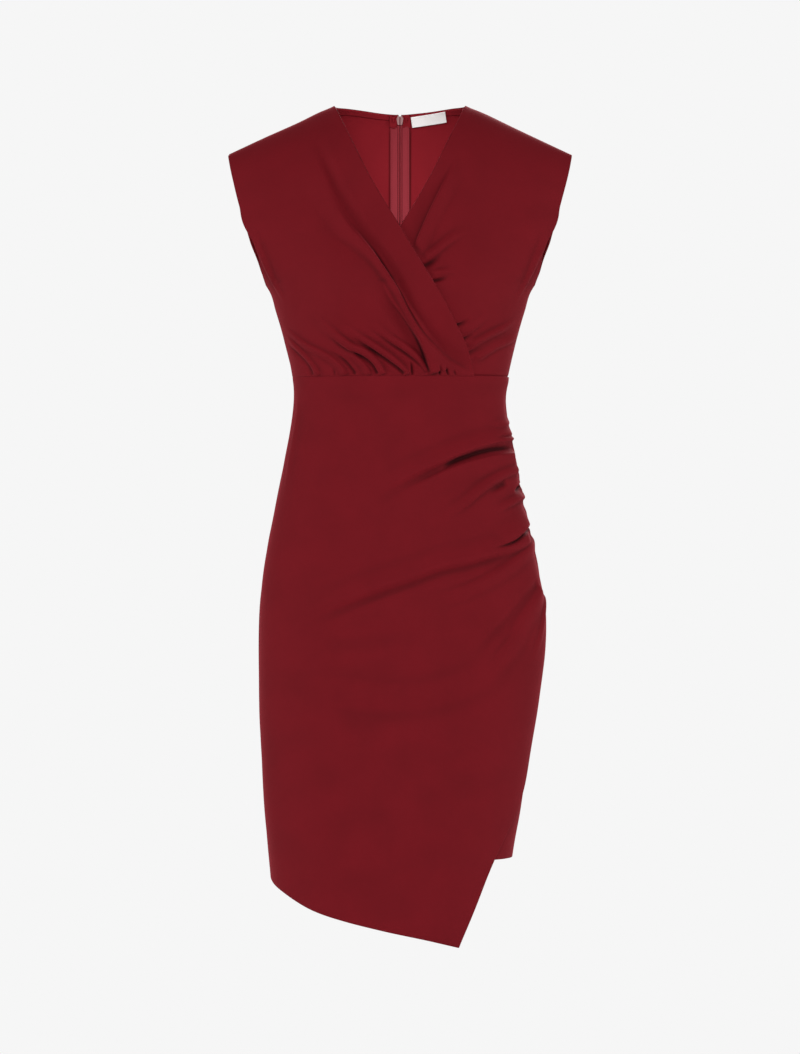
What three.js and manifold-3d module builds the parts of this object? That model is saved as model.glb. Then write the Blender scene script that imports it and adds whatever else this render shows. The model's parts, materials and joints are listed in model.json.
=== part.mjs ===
// A sleeveless knee-length wrap dress, filled out as it is worn, with its inside hollow.
// Millimetres. +Z is up, the front faces -Y and +X is the wearer's left. The origin lies
// midway between the shoulder seams, level with their inner ends, where the wearer holds it up.
import * as THREE from "three";
import { mergeVertices } from "three/addons/utils/BufferGeometryUtils.js";
import Module from "manifold-3d";

// Driving sizes of the cloth.
const cloth = {
  wall: 1.6, // thickness of a panel
  seam: 0.3, // from one panel to the next across a seam
  layer: 1.7, // between the two wrapped layers of the front
  trim: 1, // thickness of tape, facing and label
  apart: 0.4, // from a panel to what lies on it
};

const neck = { half: 81, backDrop: 5.7, facing: 7, clear: 0.3 };
const shoulder = { slope: 0.474, crown: 15, melt: 200 };
const waist = { down: 339 };
const armhole = { roundFrom: 178, bottom: 224 };
const hem = { right: 961, under: 935 };
const zip = {
  down: 11, // slider below the origin
  length: 505, // lower end of the tapes below the shoulder
  tape: [0.6, 12], // from the middle to each edge of a tape
  slot: 1.1, // gap between the backs where the slider's post passes
  slotLength: 22,
  parting: 1.5, // further opening above the slider
  partingLength: 6,
};
const label = { left: 14, top: -6.5, width: 43, height: 13, tilt: 7, stand: 0.4 };
const slider = { wide: 8.4, tall: 11, thick: 2.3, post: 0.5, ring: 1.9, hole: 1, ringWide: 1.6 };
const tab = { long: 20, wide: 5, thick: 0.9, window: 2.4, bar: 0.9, lean: 8 };

// Closing of the form over the shoulder: how deep the round is, and how square.
const roll = { front: { deep: 105, square: 2.2 }, back: { deep: 80, square: 2.5 } };

// How square each cross-section is: 2 is an ellipse.
const SQUARE = 2.2;

// Cross-sections of the worn form. down: below the shoulder seam. right, left: from the
// middle to each side. front, back: from the side line to the front and to the back.
const FORM = [
  { down: 0, right: 238, left: 238, front: 78, back: 66 },
  { down: 50, right: 228, left: 228, front: 86, back: 80 },
  { down: 100, right: 220, left: 220, front: 97, back: 95 },
  { down: 150, right: 217, left: 217, front: 109, back: 102 },
  { down: 200, right: 184, left: 184, front: 120, back: 100 },
  { down: 230, right: 162, left: 162, front: 124, back: 96 },
  { down: 255, right: 154, left: 154, front: 122, back: 93 },
  { down: 292, right: 143, left: 143, front: 112, back: 87 },
  { down: 339, right: 132, left: 132, front: 100, back: 82 },
  { down: 368, right: 130, left: 125.5, front: 94, back: 81 },
  { down: 405, right: 135, left: 132, front: 93, back: 87 },
  { down: 455, right: 145, left: 143, front: 96, back: 101 },
  { down: 505, right: 154, left: 151, front: 101, back: 116 },
  { down: 555, right: 164, left: 163, front: 105, back: 127 },
  { down: 617, right: 172, left: 176, front: 108, back: 131 },
  { down: 680, right: 174, left: 176, front: 108, back: 128 },
  { down: 742, right: 174, left: 168, front: 107, back: 120 },
  { down: 805, right: 172, left: 159, front: 106, back: 113 },
  { down: 867, right: 168, left: 150, front: 105, back: 108 },
  { down: 930, right: 163, left: 140, front: 104, back: 105 },
  { down: 1051, right: 152, left: 123, front: 102, back: 102 },
];

// The two soft rounds of the bodice front.
const bust = { across: 76, down: 236, wide: 46, tall: 50, rise: 12 };

// The edge of the wrapped front, from the shoulder seam to the waist seam. The wearer's
// right front has it as it stands, and the left front has its mirror image underneath.
const WRAP_EDGE = [
  { x: -81, down: 0 },
  { x: -66, down: 34 },
  { x: -43, down: 82 },
  { x: -21, down: 122 },
  { x: 0, down: 157 },
  { x: 18, down: 188 },
  { x: 41, down: 225 },
  { x: 62, down: 263 },
  { x: 82, down: 306 },
  { x: 90, down: 339 },
];

// The armhole edges of the front and back: how many degrees short of the side line they run.
// Below armhole.roundFrom they close to it in a quarter of an ellipse.
const ARMHOLE_EDGE = [
  { down: 0, front: 10, back: 8.8 },
  { down: 45, front: 11.4, back: 11.4 },
  { down: 90, front: 13.2, back: 14 },
  { down: 132, front: 16, back: 15.6 },
  { down: 152, front: 18.6, back: 15.6 },
  { down: 178, front: 19.5, back: 13.9 },
  { down: 224, front: 19, back: 14 },
];

// The hem of the skirt's upper layer, from the right side seam to its point.
const OVER_HEM = [
  { angle: -90, down: 961 },
  { angle: -72, down: 976 },
  { angle: -53, down: 997 },
  { angle: -36, down: 1009 },
  { angle: -12, down: 1021 },
  { angle: 18, down: 1033 },
  { angle: 39, down: 1043 },
];

// Its free edge, from the top of the left side seam to the same point.
const OVER_EDGE = [
  { angle: 90, down: 339 },
  { angle: 90, down: 614 },
  { angle: 89, down: 700 },
  { angle: 85, down: 800 },
  { angle: 79, down: 855 },
  { angle: 61, down: 935 },
  { angle: 50.5, down: 989 },
  { angle: 39, down: 1043 },
];

// The free edge of the layer below it, which hangs from the waist seam.
const underEdgeAngle = -38;

// Folds. path: crest points as seen from the front, x and mm below the shoulder.
// rise: height of the crest. left, right: how far the fold runs out to each side of
// its path, looking along it. fade: share of the path over which each end dies away.
const BODICE_RIGHT_FOLDS = [
  { rise: 6.5, left: 8, right: 20, fade: [0.35, 0.08],
    path: [[-101, 55], [-69, 130], [-24, 211], [22, 288], [89, 341]] },
  { rise: 3.5, left: 22, right: 9, fade: [0.4, 0.1],
    path: [[-12, 255], [16, 290], [29, 316], [39, 341]] },
  { rise: 4, left: 9, right: 16, fade: [0.5, 0.1],
    path: [[-37, 281], [-8, 304], [14, 317], [31, 341]] },
  { rise: 5.5, left: 9, right: 17, fade: [0.5, 0.1],
    path: [[-75, 283], [-49, 299], [-25, 317], [5, 341]] },
  { rise: 4.5, left: 9, right: 15, fade: [0.5, 0.1],
    path: [[-99, 293], [-73, 311], [-45, 322], [-24, 341]] },
  { rise: 3.5, left: 9, right: 13, fade: [0.5, 0.15],
    path: [[-115, 296], [-86, 319], [-63, 332], [-50, 341]] },
  { rise: 3, left: 9, right: 12, fade: [0.5, 0.2],
    path: [[-124, 294], [-110, 319], [-96, 341]] },
  { rise: 2.5, left: 7, right: 7, fade: [0.5, 0],
    path: [[12, 326], [14, 341]] },
  { rise: 2.5, left: 7, right: 7, fade: [0.5, 0],
    path: [[46, 326], [47, 341]] },
];
const BODICE_LEFT_FOLDS = [
  { rise: 5, left: 20, right: 9, fade: [0.5, 0.1],
    path: [[73, 93], [45, 129], [32, 157], [18, 188]] },
  { rise: 2.5, left: 11, right: 9, fade: [0.2, 0.7],
    path: [[41, 222], [69, 222], [93, 212]] },
  { rise: 2.5, left: 12, right: 9, fade: [0.2, 0.7],
    path: [[61, 280], [83, 267], [110, 245]] },
  { rise: 4, left: 14, right: 9, fade: [0.15, 0.5],
    path: [[82, 306], [110, 289], [141, 267]] },
  { rise: 3.5, left: 10, right: 9, fade: [0.15, 0.5],
    path: [[86, 324], [114, 307], [143, 283]] },
];
const SKIRT_FOLDS = [
  { rise: 4.5, left: 9, right: 22, fade: [0.02, 0.4],
    path: [[138, 414], [104, 423], [62, 438], [2, 466], [-45, 494]] },
  { rise: 4.5, left: 20, right: 9, fade: [0.02, 0.4],
    path: [[139, 440], [112, 444], [86, 449], [60, 458], [40, 470]] },
  { rise: 5, left: 9, right: 14, fade: [0.02, 0.5],
    path: [[146, 466], [116, 470], [92, 492], [52, 522]] },
  { rise: 4, left: 12, right: 9, fade: [0.02, 0.5],
    path: [[152, 486], [130, 492], [104, 506]] },
  { rise: 7, left: 9, right: 22, fade: [0.02, 0.35],
    path: [[157, 505], [144, 524], [124, 541], [104, 548]] },
  { rise: 5, left: 9, right: 26, fade: [0.05, 0.35],
    path: [[161, 538], [124, 553], [78, 569], [-14, 599], [-118, 636]] },
  { rise: 3, left: 16, right: 11, fade: [0.05, 0.5],
    path: [[164, 550], [142, 575], [108, 594], [40, 615]] },
  { rise: 4.5, left: 10, right: 20, fade: [0.05, 0.4],
    path: [[176, 590], [150, 622], [124, 647], [92, 676]] },
  { rise: 3.5, left: 14, right: 12, fade: [0.1, 0.5],
    path: [[178, 600], [166, 640], [148, 672], [120, 712]] },
  { rise: 2, left: 14, right: 24, fade: [0.4, 0.4],
    path: [[30, 650], [-24, 654], [-74, 663], [-126, 672]] },
];

const DEGREE = Math.PI / 180;
const clamp = (value, low, high) => Math.min(high, Math.max(low, value));
const mix = (a, b, share) => a + (b - a) * share;
function smooth(low, high, value) {
  const t = clamp((value - low) / (high - low), 0, 1);
  return t * t * (3 - 2 * t);
}

// A smooth curve through one column of a table, read at a value of another column.
function column(table, from, to) {
  const x = table.map((row) => row[from]);
  const y = table.map((row) => row[to]);
  const tangent = y.map((_, i) => {
    const a = Math.max(i - 1, 0);
    const b = Math.min(i + 1, y.length - 1);
    return (y[b] - y[a]) / (x[b] - x[a]);
  });
  return (value) => {
    const at = clamp(value, x[0], x.at(-1));
    const i = clamp(x.findIndex((v) => v > at) - 1, 0, x.length - 2);
    const k = at >= x.at(-1) ? x.length - 2 : i;
    const span = x[k + 1] - x[k];
    const t = (at - x[k]) / span;
    return (
      y[k] * (1 + 2 * t) * (1 - t) ** 2 +
      tangent[k] * span * t * (1 - t) ** 2 +
      y[k + 1] * t * t * (3 - 2 * t) +
      tangent[k + 1] * span * t * t * (t - 1)
    );
  };
}

const formRight = column(FORM, "down", "right");
const formLeft = column(FORM, "down", "left");
const formFront = column(FORM, "down", "front");
const formBack = column(FORM, "down", "back");

// Height of the shoulder seam over the origin at x, and how much a row still follows it.
function shoulderLine(x) {
  const inner = Math.hypot(neck.half, shoulder.crown);
  return -shoulder.slope * (Math.hypot(x, shoulder.crown) - inner);
}
const follows = (down) => 1 - smooth(0, shoulder.melt, down);

// How far a sheet has opened from the shoulder seam, from 0 to 1.
function opened(down, side) {
  const left = 1 - clamp(down / side.deep, 0, 1);
  return (1 - left ** side.square) ** (1 / side.square);
}

// Angle round the form: 0 is the front, 90 the wearer's left, -90 the right, 180 the back.
const isBack = (angle) => Math.abs(angle) > 90;
const justBehind = 90.001;
const sideGap = cloth.seam / 2;

// A point of the form's surface.
function surface(angle, down) {
  const sine = Math.sin(angle * DEGREE);
  const cosine = Math.cos(angle * DEGREE);
  const wide = angle < 0 ? formRight(down) : formLeft(down);
  const deep = isBack(angle) ? formBack(down) : formFront(down);
  const reach =
    (Math.abs(sine / wide) ** SQUARE + Math.abs(cosine / deep) ** SQUARE) ** (-1 / SQUARE);
  const x = reach * sine;
  let y = -reach * cosine * opened(down, isBack(angle) ? roll.back : roll.front);
  y += isBack(angle) ? sideGap : -sideGap;
  if (!isBack(angle)) {
    const side = Math.abs(x) - bust.across;
    const level = down - bust.down;
    y -= bust.rise * Math.exp(-((side / bust.wide) ** 2) - (level / bust.tall) ** 2) * cosine;
  }
  return new THREE.Vector3(x, y, shoulderLine(x) * follows(down) - down);
}

// The outward direction there.
function outward(angle, down) {
  const turn = 0.4;
  const drop = 0.8;
  const round = surface(angle + turn, down).sub(surface(angle - turn, down));
  const fall = surface(angle, down + drop).sub(surface(angle, Math.max(down - drop, 0)));
  return fall.cross(round).normalize();
}

// The angle at which the form is x from the middle.
function angleAt(x, down, back = false) {
  const wide = x < 0 ? formRight(down) : formLeft(down);
  const deep = back ? formBack(down) : formFront(down);
  const share = Math.min(Math.abs(x) / wide, 1);
  const angle = Math.atan2(Math.abs(x), deep * (1 - share ** SQUARE) ** (1 / SQUARE)) / DEGREE;
  return Math.sign(x) * (back ? 180 - angle : angle);
}

// How far below the shoulder seam a point at x and z lies.
function downAt(x, z) {
  let down = -z;
  for (let i = 0; i < 30; i++) down = mix(down, shoulderLine(x) * follows(down) - z, 0.7);
  return Math.max(down, 0);
}

// Width and length over the unrolled cloth, for measuring across folds.
function unroll(angle, down) {
  const wide = angle < 0 ? formRight(down) : formLeft(down);
  const deep = formFront(down);
  return [(angle / 90) * ((wide + deep) / 2) * (Math.PI / 2), down];
}

// Each fold's path as unrolled points, close together.
function prepare(folds) {
  return folds.map((fold) => {
    const points = fold.path.map(([x, below]) => {
      const down = downAt(x, -below);
      const [across, along] = unroll(angleAt(x, down), down);
      return new THREE.Vector3(across, along, 0);
    });
    return { ...fold, line: new THREE.CatmullRomCurve3(points).getPoints(24) };
  });
}

// Height of all folds at a place.
function foldHeight(folds, angle, down) {
  const [across, along] = unroll(angle, down);
  let height = 0;
  for (const fold of folds) {
    let nearest = Infinity;
    let share = 0;
    let side = 0;
    for (let i = 0; i + 1 < fold.line.length; i++) {
      const a = fold.line[i];
      const b = fold.line[i + 1];
      const dx = b.x - a.x;
      const dy = b.y - a.y;
      const t = clamp(((across - a.x) * dx + (along - a.y) * dy) / (dx * dx + dy * dy), 0, 1);
      const away = Math.hypot(across - a.x - t * dx, along - a.y - t * dy);
      if (away >= nearest) continue;
      nearest = away;
      share = (i + t) / (fold.line.length - 1);
      side = dx * (along - a.y) - dy * (across - a.x);
    }
    const reach = side > 0 ? fold.right : fold.left;
    const [first, last] = fold.fade;
    const ends =
      (first ? smooth(0, first, share) : 1) * (last ? smooth(0, last, 1 - share) : 1);
    height = Math.max(height, fold.rise * ends * (1 - smooth(0, reach, nearest)));
  }
  return height;
}

// A boundary through a table of angle and down, read at a share that runs evenly along one
// of the two.
function boundary(points, even) {
  const first = points[0][even];
  const last = points.at(-1)[even];
  const table = points.map((p) => ({ ...p, share: (p[even] - first) / (last - first) }));
  const angle = column(table, "share", "angle");
  const down = column(table, "share", "down");
  return (share) => ({ angle: angle(share), down: down(share) });
}

// A place inside four boundaries: across goes from side a to side b, along from top to bottom.
function between(top, bottom, a, b) {
  const corner = { ta: top(0), tb: top(1), ba: bottom(0), bb: bottom(1) };
  return (across, along) => {
    const part = (key) =>
      mix(top(across)[key], bottom(across)[key], along) +
      mix(a(along)[key], b(along)[key], across) -
      mix(mix(corner.ta[key], corner.tb[key], across), mix(corner.ba[key], corner.bb[key], across), along);
    return { angle: part("angle"), down: part("down") };
  };
}

// Even steps from 0 to 1, or steps that gather where the density is high.
function steps(count, density = () => 1) {
  const fine = 400;
  const sum = [0];
  for (let i = 0; i < fine; i++) sum.push(sum[i] + density((i + 0.5) / fine));
  const found = [];
  for (let k = 0; k <= count; k++) {
    const want = (sum[fine] * k) / count;
    const i = clamp(sum.findIndex((v) => v >= want) - 1, 0, fine - 1);
    found.push(k === 0 ? 0 : k === count ? 1 : (i + (want - sum[i]) / (sum[i + 1] - sum[i])) / fine);
  }
  return found;
}

// A closed wall over a patch of the form. inner gives the height of its inner face.
function wall(place, across, along, inner, thick = cloth.wall) {
  const points = [];
  for (const layer of [0, thick]) {
    for (const v of along) {
      for (const u of across) {
        const { angle, down } = place(u, v);
        const lift = inner(angle, down) + layer;
        points.push(surface(angle, down).addScaledVector(outward(angle, down), lift));
      }
    }
  }
  const wide = across.length;
  const tall = along.length;
  const at = (i, j, layer) => layer * wide * tall + j * wide + i;
  const faces = [];
  const quad = (a, b, c, d) => faces.push(a, b, c, a, c, d);
  for (let j = 0; j + 1 < tall; j++)
    for (let i = 0; i + 1 < wide; i++) {
      quad(at(i, j, 1), at(i + 1, j, 1), at(i + 1, j + 1, 1), at(i, j + 1, 1));
      quad(at(i, j, 0), at(i, j + 1, 0), at(i + 1, j + 1, 0), at(i + 1, j, 0));
    }
  for (let i = 0; i + 1 < wide; i++) {
    quad(at(i, 0, 0), at(i + 1, 0, 0), at(i + 1, 0, 1), at(i, 0, 1));
    quad(at(i, tall - 1, 1), at(i + 1, tall - 1, 1), at(i + 1, tall - 1, 0), at(i, tall - 1, 0));
  }
  for (let j = 0; j + 1 < tall; j++) {
    quad(at(0, j, 1), at(0, j + 1, 1), at(0, j + 1, 0), at(0, j, 0));
    quad(at(wide - 1, j, 0), at(wide - 1, j + 1, 0), at(wide - 1, j + 1, 1), at(wide - 1, j, 1));
  }
  return solid(points, faces);
}

// A geometry whose faces point out, whichever way round its patch ran.
function solid(points, faces) {
  let volume = 0;
  for (let i = 0; i < faces.length; i += 3) {
    const [a, b, c] = [points[faces[i]], points[faces[i + 1]], points[faces[i + 2]]];
    volume += a.dot(b.clone().cross(c));
  }
  const geometry = new THREE.BufferGeometry().setFromPoints(points);
  geometry.setIndex(volume < 0 ? [...faces].reverse() : faces);
  geometry.computeVertexNormals();
  return geometry;
}

const wine = new THREE.MeshStandardMaterial({ color: 0x6b1a20, roughness: 0.75 });
const rose = new THREE.MeshStandardMaterial({ color: 0x8e3842, roughness: 0.7 });
const satin = new THREE.MeshStandardMaterial({ color: 0xe9e6e2, roughness: 0.5 });
const lacquer = new THREE.MeshStandardMaterial({ color: 0xb98a90, roughness: 0.35, metalness: 0.6 });

const dress = new THREE.Group();
function add(name, geometry, material) {
  const mesh = new THREE.Mesh(geometry, material);
  mesh.name = name;
  dress.add(mesh);
  return mesh;
}

const bodiceEnd = waist.down - sideGap;
const skirtStart = waist.down + sideGap;

const armholeFront = column(ARMHOLE_EDGE, "down", "front");
const armholeBack = column(ARMHOLE_EDGE, "down", "back");

// How much of an armhole's width is left at a depth.
function armholeShare(down) {
  const past = (down - armhole.roundFrom) / (armhole.bottom - armhole.roundFrom);
  return Math.sqrt(1 - clamp(past, 0, 1) ** 2);
}

// The outer edge of a bodice panel: armhole, then side seam. turn is 1 or -1.
function outerEdge(turn, back, first, last) {
  return (share) => {
    const down = mix(first, last, share);
    const gap = (back ? armholeBack : armholeFront)(down) * armholeShare(down);
    return { angle: turn * (back ? justBehind + gap : 90 - gap), down };
  };
}

const wrapPoints = WRAP_EDGE.map(({ x, down }) => {
  const below = downAt(x, -down);
  return { angle: angleAt(x, below), down: below };
});
const wrapEdge = boundary(wrapPoints, "down");
const wrapAngle = column(wrapPoints, "down", "angle");

// Bodice fronts: the right one lies over the left one.
function bodiceFront(turn, inner, columns, rows) {
  const edge = (share) => {
    const { angle, down } = wrapEdge(share);
    return { angle: -turn * angle, down: down - sideGap * share };
  };
  const outer = outerEdge(turn, false, 0, bodiceEnd);
  const top = (share) => ({ angle: mix(outer(0).angle, edge(0).angle, share), down: 0 });
  const bottom = (share) => ({
    angle: mix(outer(1).angle, edge(1).angle, share),
    down: bodiceEnd,
  });
  const place = between(top, bottom, outer, edge);
  return wall(place, columns, rows, inner);
}

const layerLift = cloth.wall + cloth.layer;
const rightFolds = prepare(BODICE_RIGHT_FOLDS);
const leftFolds = prepare(BODICE_LEFT_FOLDS);
const atWaist = (down) => 1 - 0.75 * smooth(waist.down - 12, waist.down, down);

function bodiceRightLift(angle, down) {
  const overlap = smooth(-36, -4, angle + wrapAngle(down));
  return layerLift * overlap + foldHeight(rightFolds, angle, down) * atWaist(down);
}
function bodiceLeftLift(angle, down) {
  const shown = smooth(1, 10, angle - wrapAngle(down));
  return foldHeight(leftFolds, angle, down) * shown * atWaist(down);
}

// Rows of the bodice panels: closer near the shoulder seam, even round the underarm's curve,
// and then as close as the lower part needs.
function bodiceRows(lower) {
  const upper = steps(9, (t) => 1 / (t + 0.12)).map((t) => t * armhole.roundFrom);
  const under = steps(5).slice(1).map((t) => {
    const arc = Math.sin(t * Math.PI / 2);
    return mix(armhole.roundFrom, armhole.bottom, arc);
  });
  const below = lower.slice(1).map((t) => mix(armhole.bottom, bodiceEnd, t));
  return [...upper, ...under, ...below].map((down) => down / bodiceEnd);
}
const foldedRows = bodiceRows(steps(9, (t) => mix(0.7, 1.6, t)));
const plainRows = bodiceRows(steps(5));
add(
  "bodice_front_right",
  bodiceFront(-1, bodiceRightLift, steps(27), foldedRows),
  wine,
);
add(
  "bodice_front_left",
  bodiceFront(1, bodiceLeftLift, steps(18), foldedRows),
  wine,
);

// The middle of the back: the halves part for the slider's post and above it.
const neckTop = downAt(0, -neck.backDrop);
function middle(turn, down) {
  const below = down - neckTop;
  const slot = zip.slot * (1 - smooth(0.8 * zip.slotLength, zip.slotLength, below));
  const parting = zip.parting * (1 - smooth(0, zip.partingLength, below));
  return angleAt((turn * Math.max(cloth.seam, slot + parting)) / 2, down, true);
}

// The back neckline from the shoulder seam to the middle.
function backNeck(turn, share) {
  const x = turn * mix(neck.half, (zip.slot + zip.parting) / 2, share);
  const down = share === 0 ? 0 : downAt(x, -neck.backDrop * smooth(0, 1, share));
  return { angle: angleAt(x, down, true), down };
}

// Columns of a back panel: first along the shoulder seam, then along the neckline.
const neckShare = 0.55;
const backColumns = [
  ...steps(6).map((share) => share * neckShare),
  ...steps(7).slice(1).map((share) => mix(neckShare, 1, share)),
];

function backPlace(turn) {
  const outer = outerEdge(turn, true, 0, bodiceEnd);
  const top = (share) =>
    share <= neckShare
      ? { angle: mix(outer(0).angle, backNeck(turn, 0).angle, share / neckShare), down: 0 }
      : backNeck(turn, (share - neckShare) / (1 - neckShare));
  const centre = (share) => {
    const down = mix(neckTop, bodiceEnd, share);
    return { angle: middle(turn, down), down };
  };
  const bottom = (share) => ({ angle: mix(outer(1).angle, centre(1).angle, share), down: bodiceEnd });
  return between(top, bottom, outer, centre);
}
add("bodice_back_left", wall(backPlace(1), backColumns, plainRows, () => 0), wine);
add("bodice_back_right", wall(backPlace(-1), backColumns, plainRows, () => 0), wine);

// Skirt.
const skirtFolds = prepare(SKIRT_FOLDS);
const seamLayer = 0.9; // between the layers where one seam holds both

function skirtOver() {
  const left = boundary(OVER_EDGE, "down");
  const right = (share) => ({ angle: -90, down: mix(skirtStart, OVER_HEM[0].down, share) });
  const top = (share) => ({ angle: mix(-90, 90, share), down: skirtStart });
  const edge = (share) => {
    const { angle, down } = left(share);
    return { angle: Math.min(angle, 90), down: down + sideGap * (1 - share) };
  };
  const place = between(top, boundary(OVER_HEM, "angle"), right, edge);
  const lift = (angle, down) => {
    const onLayer = smooth(-86, -46, angle);
    const free = smooth(waist.down, waist.down + 40, down);
    const nearSide = smooth(78, 90, angle) * (1 - smooth(600, 640, down));
    const base = cloth.wall + mix(seamLayer, cloth.layer, free * (1 - nearSide));
    const calm = smooth(waist.down, waist.down + 20, down) * mix(1, 0.5, smooth(62, 88, angle));
    return base * onLayer + foldHeight(skirtFolds, angle, down) * calm;
  };
  const across = steps(31, (t) => mix(0.7, 1.6, smooth(0.35, 0.75, t)));
  const along = steps(30, (t) => (t > 0.08 && t < 0.52 ? 2.2 : 0.8));
  return wall(place, across, along, lift);
}
add("skirt_front_over", skirtOver(), wine);

// Rows of the plain skirt panels, finer where the waist is hollow.
const skirtRows = steps(16, (t) => (t < 0.2 ? 2.2 : 1));

// A plain skirt panel from one line down the form to another, each giving an angle at a depth.
function skirtPanel(from, to, hemAt, columns) {
  const line = (at) => (share) => {
    const down = mix(skirtStart, hemAt(at(hem.under)), share);
    return { angle: at(down), down };
  };
  const a = line(from);
  const b = line(to);
  const top = (share) => ({ angle: mix(a(0).angle, b(0).angle, share), down: skirtStart });
  const bottom = (share) => {
    const angle = mix(a(1).angle, b(1).angle, share);
    return { angle, down: hemAt(angle) };
  };
  return wall(between(top, bottom, a, b), steps(columns), skirtRows, () => 0);
}

// The back hem drops evenly from the left side seam round to the right one.
function backHem(angle) {
  const round = angle < 0 ? angle + 360 - 90 : angle - 90;
  return mix(hem.under, hem.right, clamp(round / 180, 0, 1));
}

const straight = (angle) => () => angle;
const underHem = () => hem.under;
const skirtUnder = skirtPanel(straight(underEdgeAngle), straight(90), underHem, 14);
add("skirt_front_under", skirtUnder, wine);
for (const [side, turn] of [["left", 1], ["right", -1]]) {
  const centre = (down) => middle(turn, down);
  add("skirt_back_" + side, skirtPanel(straight(turn * justBehind), centre, backHem, 12), wine);
}

// What lies inside a back panel uses the panel's own rows.
const inside = () => -cloth.apart - cloth.trim;

// The strips inside the back neckline, one on each side of the zip.
function facing(turn) {
  const nearZip = 1 - (1 - neckShare) * (zip.tape[1] + 1) / neck.half;
  const columns = backColumns.filter((u) => u > neckShare && u < nearZip - 0.02);
  const rows = [neck.clear, neck.facing].map((below) => below / (bodiceEnd - neckTop));
  return wall(backPlace(turn), [...columns, nearZip], rows, inside, cloth.trim);
}
add("back_neck_facing_left", facing(1), wine);
add("back_neck_facing_right", facing(-1), wine);

// The zip tapes, which lie inside the backs on each side of the middle.
function tape(turn) {
  const bodice = plainRows.map((share) => mix(neckTop, bodiceEnd, share));
  const skirt = skirtRows.map((share) => mix(skirtStart, backHem(180), share));
  const rows = [neckTop + 1, ...bodice.slice(1), ...skirt.slice(1)].filter((down) => down <= zip.length);
  const place = (across, down) => {
    const x = turn * mix(...zip.tape, across);
    return { angle: angleAt(x, down, true), down };
  };
  return wall(place, steps(1), rows, inside, cloth.trim);
}
add("zip_tape_left", tape(1), rose);
add("zip_tape_right", tape(-1), rose);

// The blank label over the left facing.
function neckLabel() {
  const cosine = Math.cos(label.tilt * DEGREE);
  const sine = Math.sin(label.tilt * DEGREE);
  const place = (across, along) => {
    const right = label.width * across;
    const below = label.height * along;
    const x = label.left + right * cosine + below * sine;
    const down = downAt(x, label.top + right * sine - below * cosine);
    return { angle: angleAt(x, down, true), down };
  };
  const overFacing = -2 * (cloth.apart + cloth.trim) - label.stand;
  return wall(place, steps(8), steps(3), () => overFacing, cloth.trim);
}
add("neck_label", neckLabel(), satin);

// The slider and its tab are made upright, with the cloth's inner face at y = 0 and the
// outside at +Y, and then leaned to the slope of the back.
const zipDown = downAt(0, -zip.down);
const slope = outward(180, zipDown);
const lean = Math.atan2(slope.z, slope.y);
const ringOut = cloth.wall + cloth.apart + slider.ring;

// An outline pushed out to a thickness, centred on its own plane.
function plate(outline, thick, hole) {
  const shape = new THREE.Shape(outline);
  if (hole) shape.holes.push(new THREE.Path(hole));
  const settings = { depth: thick, bevelEnabled: false };
  return new THREE.ExtrudeGeometry(shape, settings).translate(0, 0, -thick / 2);
}
const turnPoints = (radius, count, x = 0, y = 0) =>
  Array.from({ length: count }, (_, i) => {
    const angle = (i / count) * 2 * Math.PI;
    return new THREE.Vector2(x + radius * Math.cos(angle), y + radius * Math.sin(angle));
  });

const manifold = await Module();
manifold.setup();
function asManifold(geometry) {
  const bare = new THREE.BufferGeometry();
  bare.setAttribute("position", geometry.getAttribute("position"));
  if (geometry.index) bare.setIndex(geometry.index);
  const merged = mergeVertices(bare, 1e-4);
  const mesh = new manifold.Mesh({
    numProp: 3,
    vertProperties: merged.attributes.position.array,
    triVerts: new Uint32Array(merged.index.array),
  });
  return new manifold.Manifold(mesh);
}
function joined(...geometries) {
  const whole = geometries.map(asManifold).reduce((a, b) => a.add(b)).getMesh();
  const geometry = new THREE.BufferGeometry();
  geometry.setAttribute("position", new THREE.BufferAttribute(whole.vertProperties, 3));
  geometry.setIndex(new THREE.BufferAttribute(whole.triVerts, 1));
  geometry.computeVertexNormals();
  return geometry;
}

// The slider: a shield inside, a post through the gap, and a ring outside that holds the tab.
function sliderSolid() {
  const half = slider.wide / 2;
  const tall = slider.tall / 2;
  const shieldOutline = [
    [-half, tall * 0.55],
    [-half * 0.7, tall],
    [half * 0.7, tall],
    [half, tall * 0.55],
    [half * 0.72, -tall * 0.8],
    [half * 0.5, -tall],
    [-half * 0.5, -tall],
    [-half * 0.72, -tall * 0.8],
  ].map(([x, y]) => new THREE.Vector2(x, y));
  const inside = -cloth.apart * 2 - cloth.trim - 0.1;
  const shield = plate(shieldOutline, slider.thick).rotateX(Math.PI / 2);
  shield.translate(0, inside - slider.thick / 2, 0);
  const ring = plate(turnPoints(slider.ring, 20), slider.ringWide, turnPoints(slider.hole, 16));
  ring.rotateY(Math.PI / 2).translate(0, ringOut, 0);
  const reach = ringOut - (slider.ring + slider.hole) / 2 - inside + slider.thick / 2;
  const post = new THREE.BoxGeometry(slider.post, reach, 2.4);
  post.translate(0, inside - slider.thick / 2 + reach / 2, 0);
  return joined(shield, ring, post);
}

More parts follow.
